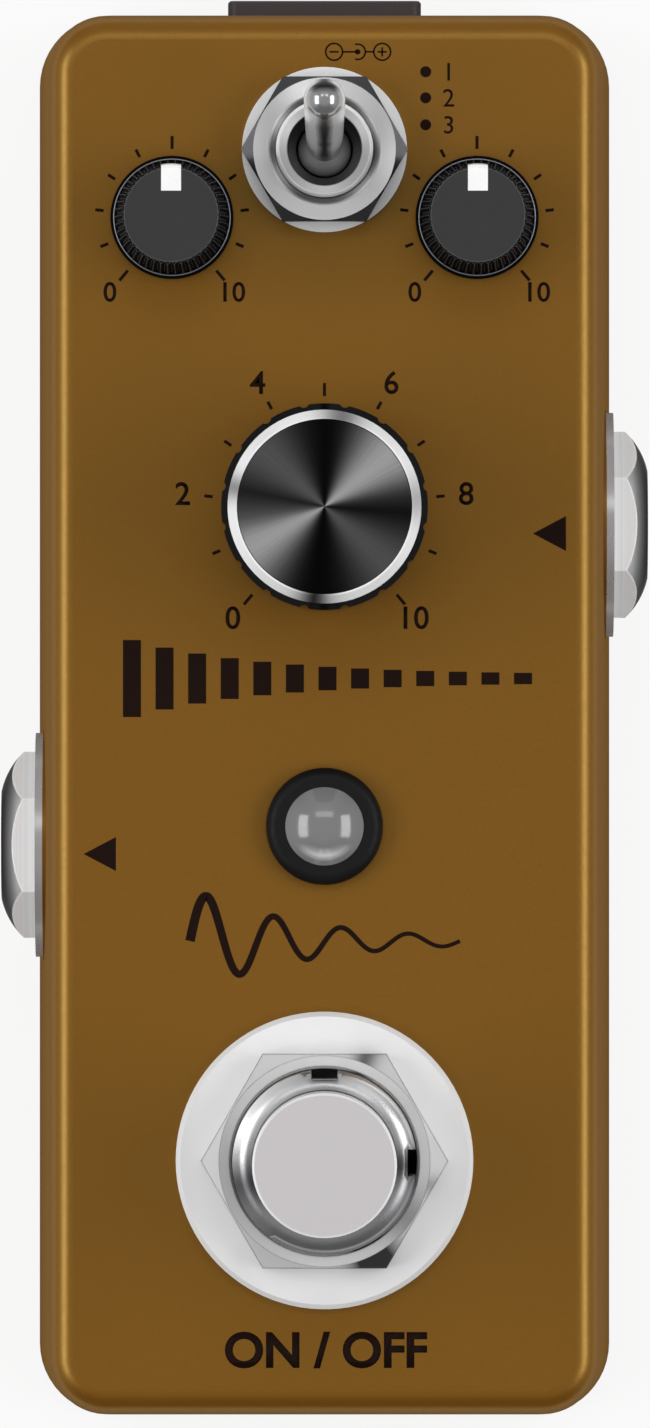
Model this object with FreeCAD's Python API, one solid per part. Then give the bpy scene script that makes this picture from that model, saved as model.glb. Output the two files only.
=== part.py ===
"""A mini delay pedal: a die-cast case with a footswitch, a three-way toggle, three knobs and a lamp.

Millimetres. The origin is the centre of the rubber pad's underside. +Z points up from the table,
+Y to the rear, where the power socket is, and +X to the right, where the input jack is.
Each function below returns the solid or solids of one sub-part.
"""
import FreeCAD, Part
import math
import os
from FreeCAD import Rotation, Vector

# Outer case
case_length = 93.5  # along Y, at the open rim
case_width = 38.05  # along X, at the open rim
case_height = 33.0  # from the rim to the flat top
side_wall = 1.9
top_wall = 2.2
wall_draft = 1.8  # degrees that each side leans in
case_corner_radius = 4.8
top_edge_radius = 1.6
rim_width = 1.0  # of the case's wall beside the base plate
boss_radius = 2.9
boss_inset = 4.7  # from the case's sides to a boss's axis

# Base plate, its screws and the pad under it
plate_thickness = 1.2
plate_clearance = 0.15
screw_radius = 1.25
screw_length = 8.0
screw_head_radius = 2.35
screw_recess_depth = 0.7
screw_recess_width = 0.6
screw_clearance = 0.08
pilot_extra_depth = 1.5
pad_thickness = 1.0
pad_width = 31.0
pad_length = 74.0
pad_corner_radius = 4.0

# Fits shared by several pieces
thread_clearance = 0.06  # radial, a nut on its bushing
hole_clearance = 0.15  # radial, a bushing in its panel hole
running_clearance = 0.06  # radial, a shaft in its bearing
touch_gap = 0.1  # between faces that meet at the end of a travel
nut_chamfer_angle = 30.0  # degrees
nut_circle_share = 0.985  # of the flats' half width, the chamfer's inner circle

# Places along the case
footswitch_inset = 17.65  # from the case's front end
lamp_spacing = 21.83  # behind the footswitch
output_jack_gap = 1.6  # from the switch board to the jack's housing
jack_housing_gap = 6.6  # between the two jacks' housings
toggle_wall_gap = 0.43  # from the rear wall to the toggle's case
small_knob_spacing = 4.45  # in front of the toggle
time_knob_spacing = 19.0  # in front of the small knobs

# Footswitch
footswitch_bushing_radius = 6.0
footswitch_bushing_length = 13.4
footswitch_bevel_width = 0.85  # of the bushing's mouth, from its thread inwards
footswitch_bevel_height = 0.5
footswitch_lip_thickness = 2.0
footswitch_keyway_width = 1.75
footswitch_keyway_depth = 0.6
footswitch_washer_radius = 9.72
footswitch_washer_thickness = 1.2
footswitch_washer_edge = 0.3
footswitch_nut_flats = 14.0
footswitch_nut_thickness = 2.4
footswitch_nut_countersink = 0.15
footswitch_inner_nut_thickness = 2.0
lock_washer_radius = 8.2
lock_washer_thickness = 0.6
lock_washer_teeth = 12
lock_washer_notch = 1.1
plunger_radius = 4.68
plunger_rise = 9.4  # above the bushing
plunger_travel = 3.0
plunger_edge = 0.15
plunger_collar_step = 0.22  # from the plunger out to its collar's edge
plunger_collar_clearance = 0.1
plunger_collar_thickness = 1.2
plunger_stem_radius = 2.0
plunger_stem_entry = 2.0  # into the switch case at rest
plunger_lip_clearance = 0.08
spring_wire_radius = 0.4
spring_mean_radius = 3.5
spring_turns = 4.5
switch_case_size = 17.2
switch_case_height = 11.0
switch_frame_thickness = 1.0
switch_tab_width = 7.0
switch_tab_length = 7.5
lug_pitch = 5.3
lug_width = 2.0
lug_thickness = 0.8
lug_length = 5.0
lug_tail = 0.8  # below the switch board
switch_board_front = 1.0  # past the switch case, to the front
switch_board_rear = 3.0  # past the switch case, to the rear
switch_board_thickness = 1.2

# Toggle switch
toggle_bushing_radius = 3.175
toggle_bushing_rise = 1.3  # above its nut
toggle_mouth_clearance = 0.04
toggle_mouth_chamfer = 0.2
toggle_washer_radius = 5.4
toggle_washer_thickness = 0.5
toggle_nut_flats = 9.45
toggle_nut_thickness = 2.2
toggle_nut_countersink = 0.3
toggle_inner_nut_thickness = 1.6
toggle_inner_nut_flats = 8.0
toggle_plate_thickness = 0.5
toggle_case_width = 6.9  # along X
toggle_case_length = 13.0  # along Y
toggle_case_height = 8.2
toggle_pivot_depth = 5.0  # below the bushing's mouth
toggle_ball_radius = 1.75
toggle_socket_clearance = 0.12
toggle_throat_clearance = 0.05
toggle_throat_drop = 1.4  # below the pivot
toggle_funnel_rise = 1.05  # above the pivot, where the bore starts to widen
toggle_tilt = 12.5  # degrees either side of upright
lever_length = 13.6  # from the pivot to the middle of the tip
lever_tip_radius = 1.35
lever_neck_radius = 1.1
lever_neck_length = 3.6
lever_shoulder = 0.12  # radial step from the neck to the bat
lever_tail_radius = 0.7
lever_tail_length = 5.0
lever_tail_clearance = 0.3
toggle_terminal_pitch = 4.7
toggle_terminal_width = 1.2
toggle_terminal_thickness = 0.8

# Potentiometers and knobs
small_shaft_radius = 2.0
small_knob_radius = 4.02
small_knob_height = 9.1
small_knob_skirt_height = 1.2
small_knob_line_radius = 3.78
small_knob_top_radius = 3.06
small_knob_teeth = 46
small_knob_tooth_depth = 0.2
small_knob_cap_height = 0.5  # of the plain disc above the teeth
pointer_width = 1.29
pointer_length = 1.5
pointer_depth = 0.5
pointer_drop = 1.9  # down the side of the knob
knob_gap = 0.4  # between the case and a knob
shaft_flat_share = 0.25  # of the shaft's radius cut away by the flat
knob_bore_clearance = 0.02
knob_roof = 1.4  # above a small knob's bore
time_shaft_radius = 3.0
time_knob_radius = 6.7
time_knob_height = 13.5
time_knob_wall = 1.2
time_knob_hub_radius = 4.3
time_knob_hollow_depth = 7.0
time_knob_grooves = 16
time_knob_groove_radius = 0.35
time_knob_groove_depth = 0.17
time_knob_bevel_height = 0.45
time_knob_roof = 3.0  # above the time knob's bore
rim_outer_radius = 6.28
rim_inner_radius = 5.68
rim_height = 1.6
rim_bevel_height = 0.45
rim_land = 0.12
insert_clearance = 0.04
insert_recess = 0.1
pot_width = 9.6
pot_length = 10.6
pot_case_height = 6.6
pot_collar_wall = 0.9
pot_floor = 1.0
pot_turn_clearance = 0.5  # radial, a shaft in its panel hole
pot_ceiling_gap = 0.3

# Lamp
bezel_radius = 3.83
bezel_height = 1.6
bezel_dome = 0.7
bezel_barrel_radius = 3.1
bezel_barrel_length = 4.4
bezel_ring_radius = 4.1
bezel_ring_thickness = 1.3
lens_radius = 2.5
lens_clearance = 0.08
lens_rise = 1.0  # of the lens's top above the bezel
lens_flange_radius = 2.9
lens_flange_thickness = 1.0
lead_size = 0.5
lead_pitch = 2.54

# Audio jacks
jack_bore_radius = 3.25
jack_bushing_radius = 4.5
jack_bushing_inside = 6.0  # into the jack's housing
jack_nut_corner_radius = 6.16
jack_nut_thickness = 2.27
jack_nut_corner_height = 0.8  # where the dome starts at the corners
jack_nut_face_radius = 3.6
jack_nut_dome_rise = 0.22  # of the dome's arc off its chord
jack_nut_lip = 0.6
jack_nut_hole_radius = 3.35
jack_washer_radius = 7.42
jack_washer_thickness = 0.5
jack_seat_radius = 7.6
jack_inner_seat_depth = 2.3  # through the wall at the seat
jack_housing_width = 14.6  # along Y
jack_housing_height = 11.8
jack_housing_length = 25.5
jack_cavity_radius = 3.6
jack_cavity_floor = 1.2
contact_width = 3.0
contact_thickness = 0.4
contact_length = 15.0
contact_slot_depth = 1.4  # outside the cavity
contact_lift = 0.3  # off the slot's floor
contact_tail = 2.0  # square foot at the leaf's end

# Power socket
power_jack_width = 12.73
power_jack_height = 11.0
power_jack_length = 13.8
power_jack_rise = 0.8  # out of the rear wall
power_jack_edge = 0.15
power_jack_corner = 0.6
power_bore_radius = 3.2
power_bore_depth = 9.6
power_pin_radius = 1.0
power_pin_setback = 0.9
power_pin_root = 2.0
power_root_radius = 0.7
power_leaf_width = 1.6
power_leaf_length = 5.0
power_leaf_thickness = 0.3
power_slot_clearance = 0.1

# Boards and what is on them
board_thickness = 1.6
board_wall_gap = 0.4  # from the rear wall
board_seat_gap = 0.2  # from the jack seats inside the side walls
board_boss_gap = 0.4
chip_length = 10.3
chip_width = 7.5
chip_height = 2.4
chip_lead_count = 8
amplifier_length = 4.9
amplifier_width = 3.9
amplifier_height = 1.6
amplifier_lead_count = 4
chip_lead_pitch = 1.27
chip_lead_width = 0.4
chip_lead_length = 1.3
chip_lead_height = 0.8
chip_side_gap = 0.8  # from the board's side to a chip's leads
capacitor_radius = 2.6
capacitor_height = 5.4
capacitor_base = 0.8
capacitor_side_gap = 0.6  # from the board's side
header_length = 9.0
header_width = 3.2
header_height = 2.6
cable_width = 7.0
cable_thickness = 0.9
cable_radius = 1.3
cable_lift = 0.9  # above the main board
cable_drop_gap = 1.0  # from the main board's front edge

# Planes and centres worked out from the sizes above
footswitch_y = footswitch_inset - case_length / 2
lamp_y = footswitch_y + lamp_spacing
rim_z = pad_thickness
top_z = rim_z + case_height
ceiling_z = top_z - top_wall
plate_top_z = rim_z + plate_thickness
lean = math.tan(math.radians(wall_draft))
rear_wall_y = case_length / 2 - (ceiling_z - rim_z) * lean - side_wall
toggle_y = rear_wall_y - toggle_wall_gap - toggle_case_length / 2
small_knob_y = toggle_y - small_knob_spacing
time_knob_y = small_knob_y - time_knob_spacing
toggle_plate_top_z = ceiling_z - toggle_inner_nut_thickness
board_top_z = toggle_plate_top_z - toggle_plate_thickness - toggle_case_height
board_bottom_z = board_top_z - board_thickness
jack_z = board_bottom_z - jack_housing_height / 2
power_z = board_bottom_z - power_jack_height / 2
toggle_mouth_z = top_z + toggle_washer_thickness + toggle_nut_thickness + toggle_bushing_rise
toggle_pivot_z = toggle_mouth_z - toggle_pivot_depth
frame_top_z = ceiling_z - lock_washer_thickness - footswitch_inner_nut_thickness
bushing_top_z = frame_top_z + footswitch_bushing_length
plunger_top_z = bushing_top_z + plunger_rise
collar_top_z = bushing_top_z - footswitch_lip_thickness - touch_gap
collar_bottom_z = collar_top_z - plunger_collar_thickness
plunger_collar_radius = plunger_radius + plunger_collar_step
footswitch_chamber_radius = plunger_collar_radius + plunger_collar_clearance
switch_case_top_z = frame_top_z - switch_frame_thickness
switch_case_bottom_z = switch_case_top_z - switch_case_height
lug_bottom_z = switch_case_bottom_z - lug_length
switch_board_top_z = lug_bottom_z + lug_tail + switch_board_thickness
knob_bottom_z = top_z + knob_gap
boss_x = case_width / 2 - boss_inset
boss_y = case_length / 2 - boss_inset
lens_top_z = top_z + bezel_height + lens_rise
lens_flange_top_z = top_z - bezel_barrel_length
board_front_y = footswitch_y + switch_case_size / 2 + switch_board_rear
output_jack_y = board_front_y + output_jack_gap + jack_housing_width / 2
input_jack_y = output_jack_y + jack_housing_width + jack_housing_gap
cable_drop_y = board_front_y - cable_drop_gap - cable_thickness / 2
pot_wall_x = case_width / 2 - (board_top_z - rim_z) * lean - side_wall
small_knob_x = (toggle_case_width / 2 + pot_wall_x) / 2


def side_x(z):
    """Where the case's outer right face is at a height."""
    return case_width / 2 - (z - rim_z) * lean


def rear_y(z):
    """Where the case's outer rear face is at a height."""
    return case_length / 2 - (z - rim_z) * lean


# Basic shapes


def box(size_x, size_y, size_z, x, y, z):
    """A box centred on x and y that stands on z."""
    return Part.makeBox(size_x, size_y, size_z, Vector(x - size_x / 2, y - size_y / 2, z))


def cylinder(radius, z_low, z_high, x=0.0, y=0.0):
    return Part.makeCylinder(radius, z_high - z_low, Vector(x, y, z_low))


def tube(outer, inner, z_low, z_high, x=0.0, y=0.0):
    return cylinder(outer, z_low, z_high, x, y).cut(cylinder(inner, z_low, z_high, x, y))


def rounded_rectangle(width, length, radius, z):
    """A closed wire centred on the Z axis, with arcs at its corners."""
    half_x, half_y = width / 2, length / 2
    centre_x, centre_y = half_x - radius, half_y - radius
    diagonal = radius * math.sqrt(0.5)
    edges = []
    for sx, sy in ((1, 1), (-1, 1), (-1, -1), (1, -1)):
        on_side = Vector(sx * half_x, sy * centre_y, z)
        on_end = Vector(sx * centre_x, sy * half_y, z)
        middle = Vector(sx * (centre_x + diagonal), sy * (centre_y + diagonal), z)
        first, last = (on_side, on_end) if sx == sy else (on_end, on_side)
        if edges:
            edges.append(Part.LineSegment(previous, first).toShape())
        else:
            start = first
        edges.append(Part.Arc(first, middle, last).toShape())
        previous = last
    edges.append(Part.LineSegment(previous, start).toShape())
    return Part.Wire(edges)


def rounded_block(width, length, radius, z_low, z_high):
    return Part.Face(rounded_rectangle(width, length, radius, z_low)).extrude(
        Vector(0, 0, z_high - z_low)
    )


def drafted_block(inset, z_low, z_high):
    """The case's outer form between two heights, moved in by inset."""
    wires = []
    for z in (z_low, z_high):
        move = inset + (z - rim_z) * lean
        wires.append(
            rounded_rectangle(
                case_width - 2 * move, case_length - 2 * move, case_corner_radius - move, z
            )
        )
    return Part.makeLoft(wires, True, True)


def turned(points, x=0.0, y=0.0):
    """A solid of revolution about a Z axis, from the (radius, z) corners of its half section."""
    corners = [Vector(r, 0, z) for r, z in points]
    section = Part.Face(Part.makePolygon(corners + corners[:1]))
    solid = section.revolve(Vector(0, 0, 0), Vector(0, 0, 1), 360)
    solid.translate(Vector(x, y, 0))
    return solid


def turned_edges(edges, x=0.0, y=0.0):
    """As turned(), from the edges of the half section, which may be arcs."""
    section = Part.Face(Part.Wire(edges))
    solid = section.revolve(Vector(0, 0, 0), Vector(0, 0, 1), 360)
    solid.translate(Vector(x, y, 0))
    return solid


def line(a, b):
    """An edge of a half section between two (radius, z) points."""
    return Part.LineSegment(Vector(a[0], 0, a[1]), Vector(b[0], 0, b[1])).toShape()


def arc(a, middle, b):
    return Part.Arc(*(Vector(r, 0, z) for r, z in (a, middle, b))).toShape()


def hexagon(flats, z_low, z_high):
    """A hexagonal prism about the Z axis with two corners on the X axis."""
    corner = flats / math.sqrt(3)
    corners = [
        Vector(corner * math.cos(k * math.pi / 3), corner * math.sin(k * math.pi / 3), z_low)
        for k in range(6)
    ]
    return Part.Face(Part.makePolygon(corners + corners[:1])).extrude(
        Vector(0, 0, z_high - z_low)
    )


def hex_nut(flats, bore, z_low, z_high):
    """A hexagonal nut about the Z axis, its upper corners chamfered to a circle inside the flats."""
    corner = flats / math.sqrt(3)
    circle = flats / 2 * nut_circle_share
    drop = (corner - circle) * math.tan(math.radians(nut_chamfer_angle))
    envelope = turned(
        [(0, z_low), (corner, z_low), (corner, z_high - drop), (circle, z_high), (0, z_high)]
    )
    nut = hexagon(flats, z_low, z_high).common(envelope)
    return nut.cut(cylinder(bore, z_low, z_high))


def countersink(bore, depth, z_high):
    """What a 45 degree countersink takes from a round hole about the Z axis."""
    return turned([(0, z_high - depth), (bore, z_high - depth), (bore + depth, z_high), (0, z_high)])


def moved(shape, x, y, z=0.0):
    copy = shape.copy()
    copy.translate(Vector(x, y, z))
    return copy


def fused(shapes):
    whole = shapes[0].multiFuse(shapes[1:]) if len(shapes) > 1 else shapes[0]
    return whole.removeSplitter()


# Case, base plate and pad


def boss_places():
    return [(sx * boss_x, sy * boss_y) for sx in (-1, 1) for sy in (-1, 1)]


def case_holes():
    """What is cut through the top for the switches, shafts and lamp."""
    radii = [
        (0, footswitch_y, footswitch_bushing_radius + hole_clearance),
        (0, toggle_y, toggle_bushing_radius + hole_clearance),
        (-small_knob_x, small_knob_y, small_shaft_radius + pot_turn_clearance),
        (small_knob_x, small_knob_y, small_shaft_radius + pot_turn_clearance),
        (0, time_knob_y, time_shaft_radius + pot_turn_clearance),
        (0, lamp_y, bezel_barrel_radius + hole_clearance),
    ]
    return [cylinder(r, ceiling_z - top_wall, top_z + top_wall, x, y) for x, y, r in radii]


def power_opening():
    """The rear wall's rounded window round the power socket."""
    width = power_jack_width + 2 * hole_clearance
    height = power_jack_height + 2 * hole_clearance
    window = rounded_block(width, height, power_jack_corner + hole_clearance, 0, 4 * side_wall)
    window.rotate(Vector(0, 0, 0), Vector(1, 0, 0), 90)
    window.translate(Vector(0, rear_y(power_z) + 2 * side_wall, power_z))
    return window


def along_x(shape, side, y):
    """Turns a shape made about the Z axis to point out of a side wall, from that wall's jack seat."""
    copy = shape.copy()
    copy.rotate(Vector(0, 0, 0), Vector(0, 1, 0), 90 * side)
    copy.translate(Vector(side * side_x(jack_z), y, jack_z))
    return copy


def jack_seats():
    """Flat round seats cast on the leaning side walls, and what is milled off and bored there."""
    added, removed = [], []
    for side, y in ((1, input_jack_y), (-1, output_jack_y)):
        added.append(along_x(cylinder(jack_seat_radius, -jack_inner_seat_depth, 0), side, y))
        removed.append(along_x(cylinder(jack_seat_radius, 0, side_wall), side, y))
        hole = jack_bushing_radius + hole_clearance
        removed.append(along_x(cylinder(hole, -2 * jack_inner_seat_depth, side_wall), side, y))
    return added, removed


def make_enclosure():
    outer = drafted_block(0, rim_z, top_z)
    top_edges = [
        edge
        for edge in outer.Edges
        if all(abs(vertex.Point.z - top_z) < 1e-6 for vertex in edge.Vertexes)
    ]
    outer = outer.makeFillet(min(top_edge_radius, case_corner_radius * 0.5), top_edges)
    shell = outer.cut(drafted_block(side_wall, rim_z, ceiling_z))
    bosses = [cylinder(boss_radius, rim_z, ceiling_z, x, y) for x, y in boss_places()]
    seats, milled = jack_seats()
    shell = fused([shell] + bosses + seats)
    recess = rounded_block(
        case_width - 2 * rim_width,
        case_length - 2 * rim_width,
        case_corner_radius - rim_width,
        rim_z,
        plate_top_z,
    )
    pilots = [
        cylinder(screw_radius, rim_z, rim_z + screw_length + pilot_extra_depth, x, y)
        for x, y in boss_places()
    ]
    pilots += screw_sinks()
    return shell.cut([recess, power_opening()] + pilots + milled + case_holes())


def screw_sinks():
    """The countersinks of the base plate's screws."""
    reach = screw_head_radius + screw_clearance
    return [turned([(0, rim_z), (reach, rim_z), (0, rim_z + reach)], x, y)
            for x, y in boss_places()]


def make_base_plate():
    gap = 2 * (rim_width + plate_clearance)
    plate = rounded_block(
        case_width - gap,
        case_length - gap,
        case_corner_radius - gap / 2,
        rim_z,
        plate_top_z,
    )
    shanks = [
        cylinder(screw_radius + screw_clearance, rim_z, plate_top_z, x, y)
        for x, y in boss_places()
    ]
    return plate.cut(shanks + screw_sinks())


def make_base_plate_screws():
    screws = []
    arm = screw_head_radius * 1.1
    for x, y in boss_places():
        screw = turned(
            [
                (0, rim_z),
                (screw_head_radius, rim_z),
                (screw_radius, rim_z + screw_head_radius - screw_radius),
                (screw_radius, rim_z + screw_length),
                (0, rim_z + screw_length),
            ],
            x,
            y,
        )
        cross = [
            box(arm, screw_recess_width, screw_recess_depth, x, y, rim_z),
            box(screw_recess_width, arm, screw_recess_depth, x, y, rim_z),
        ]
        screws.append(screw.cut(cross))
    return screws


def make_rubber_pad():
    return rounded_block(pad_width, pad_length, pad_corner_radius, 0, rim_z)


# Footswitch


def make_footswitch_washer():
    z_high = top_z + footswitch_washer_thickness
    edge = footswitch_washer_edge
    inner = footswitch_bushing_radius + hole_clearance
    return turned(
        [
            (inner, top_z),
            (footswitch_washer_radius, top_z),
            (footswitch_washer_radius, z_high - edge),
            (footswitch_washer_radius - edge, z_high),
            (inner, z_high),
        ],
        y=footswitch_y,
    )


def make_footswitch_nut():
    z_low = top_z + footswitch_washer_thickness
    z_high = z_low + footswitch_nut_thickness
    bore = footswitch_bushing_radius + thread_clearance
    nut = hex_nut(footswitch_nut_flats, bore, z_low, z_high)
    return moved(nut.cut(countersink(bore, footswitch_nut_countersink, z_high)), 0, footswitch_y)


def make_footswitch_inner_nut():
    bore = footswitch_bushing_radius + thread_clearance
    z_high = frame_top_z + footswitch_inner_nut_thickness
    return moved(hex_nut(footswitch_nut_flats, bore, frame_top_z, z_high), 0, footswitch_y)


def make_footswitch_lock_washer():
    inner = footswitch_bushing_radius + hole_clearance
    z_low = ceiling_z - lock_washer_thickness
    washer = tube(lock_washer_radius, inner, z_low, ceiling_z)
    notches = []
    for k in range(lock_washer_teeth):
        notch = box(lock_washer_notch * 2, lock_washer_notch, lock_washer_thickness,
                    lock_washer_radius, 0, z_low)
        notch.rotate(Vector(0, 0, 0), Vector(0, 0, 1), 360 / lock_washer_teeth * k)
        notches.append(notch)
    return moved(washer.cut(notches), 0, footswitch_y)


def make_footswitch_bushing():
    """The barrel, with a lip at its mouth that keeps the plunger in and two keyways outside."""
    mouth = plunger_radius + plunger_lip_clearance
    lip_z = bushing_top_z - footswitch_lip_thickness
    barrel = turned(
        [
            (footswitch_chamber_radius, frame_top_z),
            (footswitch_bushing_radius, frame_top_z),
            (footswitch_bushing_radius, bushing_top_z - footswitch_bevel_height),
            (footswitch_bushing_radius - footswitch_bevel_width, bushing_top_z),
            (mouth, bushing_top_z),
            (mouth, lip_z),
            (footswitch_chamber_radius, lip_z),
        ]
    )
    reach = footswitch_bushing_radius - footswitch_keyway_depth / 2
    z_low = top_z
    length = bushing_top_z - z_low
    keyways = [
        box(footswitch_keyway_depth, footswitch_keyway_width, length, reach, 0, z_low),
        box(footswitch_keyway_width, footswitch_keyway_depth, length, 0, reach, z_low),
    ]
    return moved(barrel.cut(keyways), 0, footswitch_y)


def make_footswitch_plunger():
    """The button, its retaining collar and the stem that works the switch."""
    stem_z = switch_case_top_z - plunger_stem_entry
    return turned(
        [
            (0, stem_z),
            (plunger_stem_radius, stem_z),
            (plunger_stem_radius, collar_bottom_z),
            (plunger_collar_radius, collar_bottom_z),
            (plunger_collar_radius, collar_top_z),
            (plunger_radius, collar_top_z),
            (plunger_radius, plunger_top_z - plunger_edge),
            (plunger_radius - plunger_edge, plunger_top_z),
            (0, plunger_top_z),
        ],
        y=footswitch_y,
    )


def arc_from_corner(a, corner, b):
    """The arc from a to b whose ends point along the lines to corner."""
    middle = (a + b) * 0.5
    reach = corner - middle
    half_chord = (b - a).Length / 2
    rise = half_chord * math.tan(math.atan2(reach.Length, half_chord) / 2)
    return Part.Arc(a, middle + reach * (rise / reach.Length), b).toShape()


def smooth_arcs(a, way_a, b, way_b):
    """Two arcs that join a to b smoothly, with the given directions at its ends."""
    span, ways = b - a, way_a + way_b
    bend = 1 - way_a.dot(way_b)
    along = span.dot(ways)
    reach = (math.sqrt(along**2 + 2 * bend * span.dot(span)) - along) / (2 * bend)
    corner_a, corner_b = a + way_a * reach, b - way_b * reach
    joint = (corner_a + corner_b) * 0.5
    return [arc_from_corner(a, corner_a, joint), arc_from_corner(joint, corner_b, b)]


def make_footswitch_spring():
    """One tube of round wire that winds up in quarter turns."""
    z_low = frame_top_z + spring_wire_radius
    height = collar_bottom_z - spring_wire_radius - z_low
    quarters = max(1, round(4 * spring_turns))
    step = 2 * math.pi * spring_turns / quarters
    climb = height / quarters / step
    points, ways = [], []
    for k in range(quarters + 1):
        turn = k * step
        points.append(
            Vector(spring_mean_radius * math.cos(turn), spring_mean_radius * math.sin(turn),
                   climb * turn)
        )
        way = Vector(-spring_mean_radius * math.sin(turn), spring_mean_radius * math.cos(turn),
                     climb)
        ways.append(way.normalize())
    edges = []
    for k in range(quarters):
        edges += smooth_arcs(points[k], ways[k], points[k + 1], ways[k + 1])
    section = Part.Wire(Part.makeCircle(spring_wire_radius, points[0], ways[0]))
    coil = Part.Wire(edges).makePipeShell([section], True, False)
    return moved(coil, 0, footswitch_y, z_low)


def make_footswitch_frame():
    """The steel plate under the bushing, with a tab folded down each side of the switch case."""
    size = switch_case_size
    plate = box(size, size, switch_frame_thickness, 0, footswitch_y, switch_case_top_z)
    hole = plunger_stem_radius + running_clearance
    plate = plate.cut(cylinder(hole, switch_case_top_z, frame_top_z, 0, footswitch_y))
    tab_x = (size + switch_frame_thickness) / 2
    drop = switch_tab_length + switch_frame_thickness
    tabs = [
        box(switch_frame_thickness, switch_tab_width, drop, side * tab_x, footswitch_y,
            frame_top_z - drop)
        for side in (-1, 1)
    ]
    return fused([plate] + tabs)


def make_footswitch_case():
    size = switch_case_size
    case = box(size, size, switch_case_height, 0, footswitch_y, switch_case_bottom_z)
    well_depth = plunger_stem_entry + plunger_travel + touch_gap
    well = cylinder(
        plunger_stem_radius + running_clearance,
        switch_case_top_z - well_depth,
        switch_case_top_z,
        0,
        footswitch_y,
    )
    return case.cut(well)


def lug_places():
    steps = (-lug_pitch, 0, lug_pitch)
    return [(x, footswitch_y + dy) for x in steps for dy in steps]


def make_footswitch_lugs():
    return [
        box(lug_width, lug_thickness, lug_length, x, y, lug_bottom_z) for x, y in lug_places()
    ]


def make_footswitch_board():
    front = footswitch_y - switch_case_size / 2 - switch_board_front
    length = board_front_y - front
    z_low = switch_board_top_z - switch_board_thickness
    board = box(
        switch_case_size, length, switch_board_thickness, 0, (board_front_y + front) / 2, z_low
    )
    wide = lug_width + 2 * hole_clearance
    deep = lug_thickness + 2 * hole_clearance
    slots = [box(wide, deep, switch_board_thickness, x, y, z_low) for x, y in lug_places()]
    return board.cut(slots)


# Toggle switch


def make_toggle_washer():
    inner = toggle_bushing_radius + hole_clearance
    z_high = top_z + toggle_washer_thickness
    return tube(toggle_washer_radius, inner, top_z, z_high, 0, toggle_y)


def make_toggle_nut():
    z_low = top_z + toggle_washer_thickness
    z_high = z_low + toggle_nut_thickness
    bore = toggle_bushing_radius + thread_clearance
    nut = hex_nut(toggle_nut_flats, bore, z_low, z_high)
    return moved(nut.cut(countersink(bore, toggle_nut_countersink, z_high)), 0, toggle_y)


def make_toggle_inner_nut():
    bore = toggle_bushing_radius + thread_clearance
    return moved(
        hex_nut(toggle_inner_nut_flats, bore, toggle_plate_top_z, ceiling_z), 0, toggle_y
    )


def bat_foot():
    """The (radius, height) where the lever's neck has widened to its bat."""
    return lever_neck_radius + lever_shoulder, lever_neck_length + lever_shoulder


def bat_radius(along):
    """The bat's radius at a distance from the pivot along the lever."""
    radius, height = bat_foot()
    slope = (lever_tip_radius - radius) / (lever_length - height)
    return radius + slope * (along - height)


def leaning_reach(radius, height):
    """How far from the barrel's axis the leaning lever's side is, at a height from its pivot."""
    tilt = math.radians(toggle_tilt)
    return height * math.tan(tilt) + radius / math.cos(tilt)


def make_toggle_bushing():
    """The threaded barrel with the socket of the lever's ball, on its square plate."""
    tilt = math.radians(toggle_tilt)
    along = (toggle_pivot_depth + lever_tip_radius * math.sin(tilt)) / math.cos(tilt)
    mouth = leaning_reach(bat_radius(along), toggle_pivot_depth) + toggle_mouth_clearance
    plate_z = toggle_plate_top_z - toggle_plate_thickness
    throat = leaning_reach(lever_tail_radius, toggle_pivot_z - plate_z) + toggle_throat_clearance
    socket = toggle_ball_radius + toggle_socket_clearance
    shoulder_z = toggle_pivot_z + toggle_funnel_rise
    throat_z = toggle_pivot_z - toggle_throat_drop
    barrel = turned(
        [
            (throat, toggle_plate_top_z),
            (toggle_bushing_radius, toggle_plate_top_z),
            (toggle_bushing_radius, toggle_mouth_z - toggle_mouth_chamfer),
            (toggle_bushing_radius - toggle_mouth_chamfer, toggle_mouth_z),
            (mouth, toggle_mouth_z),
            (mouth, shoulder_z + mouth - socket),
            (socket, shoulder_z),
            (socket, throat_z),
            (throat, throat_z),
        ],
        y=toggle_y,
    )
    plate = box(
        toggle_case_width, toggle_case_length, toggle_plate_thickness, 0, toggle_y, plate_z
    )
    hole = cylinder(throat, plate_z, toggle_plate_top_z, 0, toggle_y)
    return fused([barrel, plate.cut(hole)])


def make_toggle_lever():
    """The bat with its ball and tail, leaning to the rear at its first stop."""
    ball = toggle_ball_radius
    neck = lever_neck_radius
    neck_z = math.sqrt(ball**2 - neck**2)
    tail = lever_tail_radius
    tail_z = -math.sqrt(ball**2 - tail**2)
    shoulder = bat_foot()
    tip_low = (lever_tip_radius, lever_length)
    slant = lever_tip_radius * math.sqrt(0.5)
    side = ball * math.cos(math.atan2(neck_z + tail_z, neck + tail))
    lift = math.sqrt(ball**2 - side**2) * (1 if neck_z + tail_z > 0 else -1)
    lever = turned_edges(
        [
            line((0, -lever_tail_length), (tail, -lever_tail_length)),
            line((tail, -lever_tail_length), (tail, tail_z)),
            arc((tail, tail_z), (side, lift), (neck, neck_z)),
            line((neck, neck_z), (neck, lever_neck_length)),
            line((neck, lever_neck_length), shoulder),
            line(shoulder, tip_low),
            arc(tip_low, (slant, lever_length + slant), (0, lever_length + lever_tip_radius)),
            line((0, lever_length + lever_tip_radius), (0, -lever_tail_length)),
        ]
    )
    lever.rotate(Vector(0, 0, 0), Vector(1, 0, 0), -toggle_tilt)
    lever.translate(Vector(0, toggle_y, toggle_pivot_z))
    return lever


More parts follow.
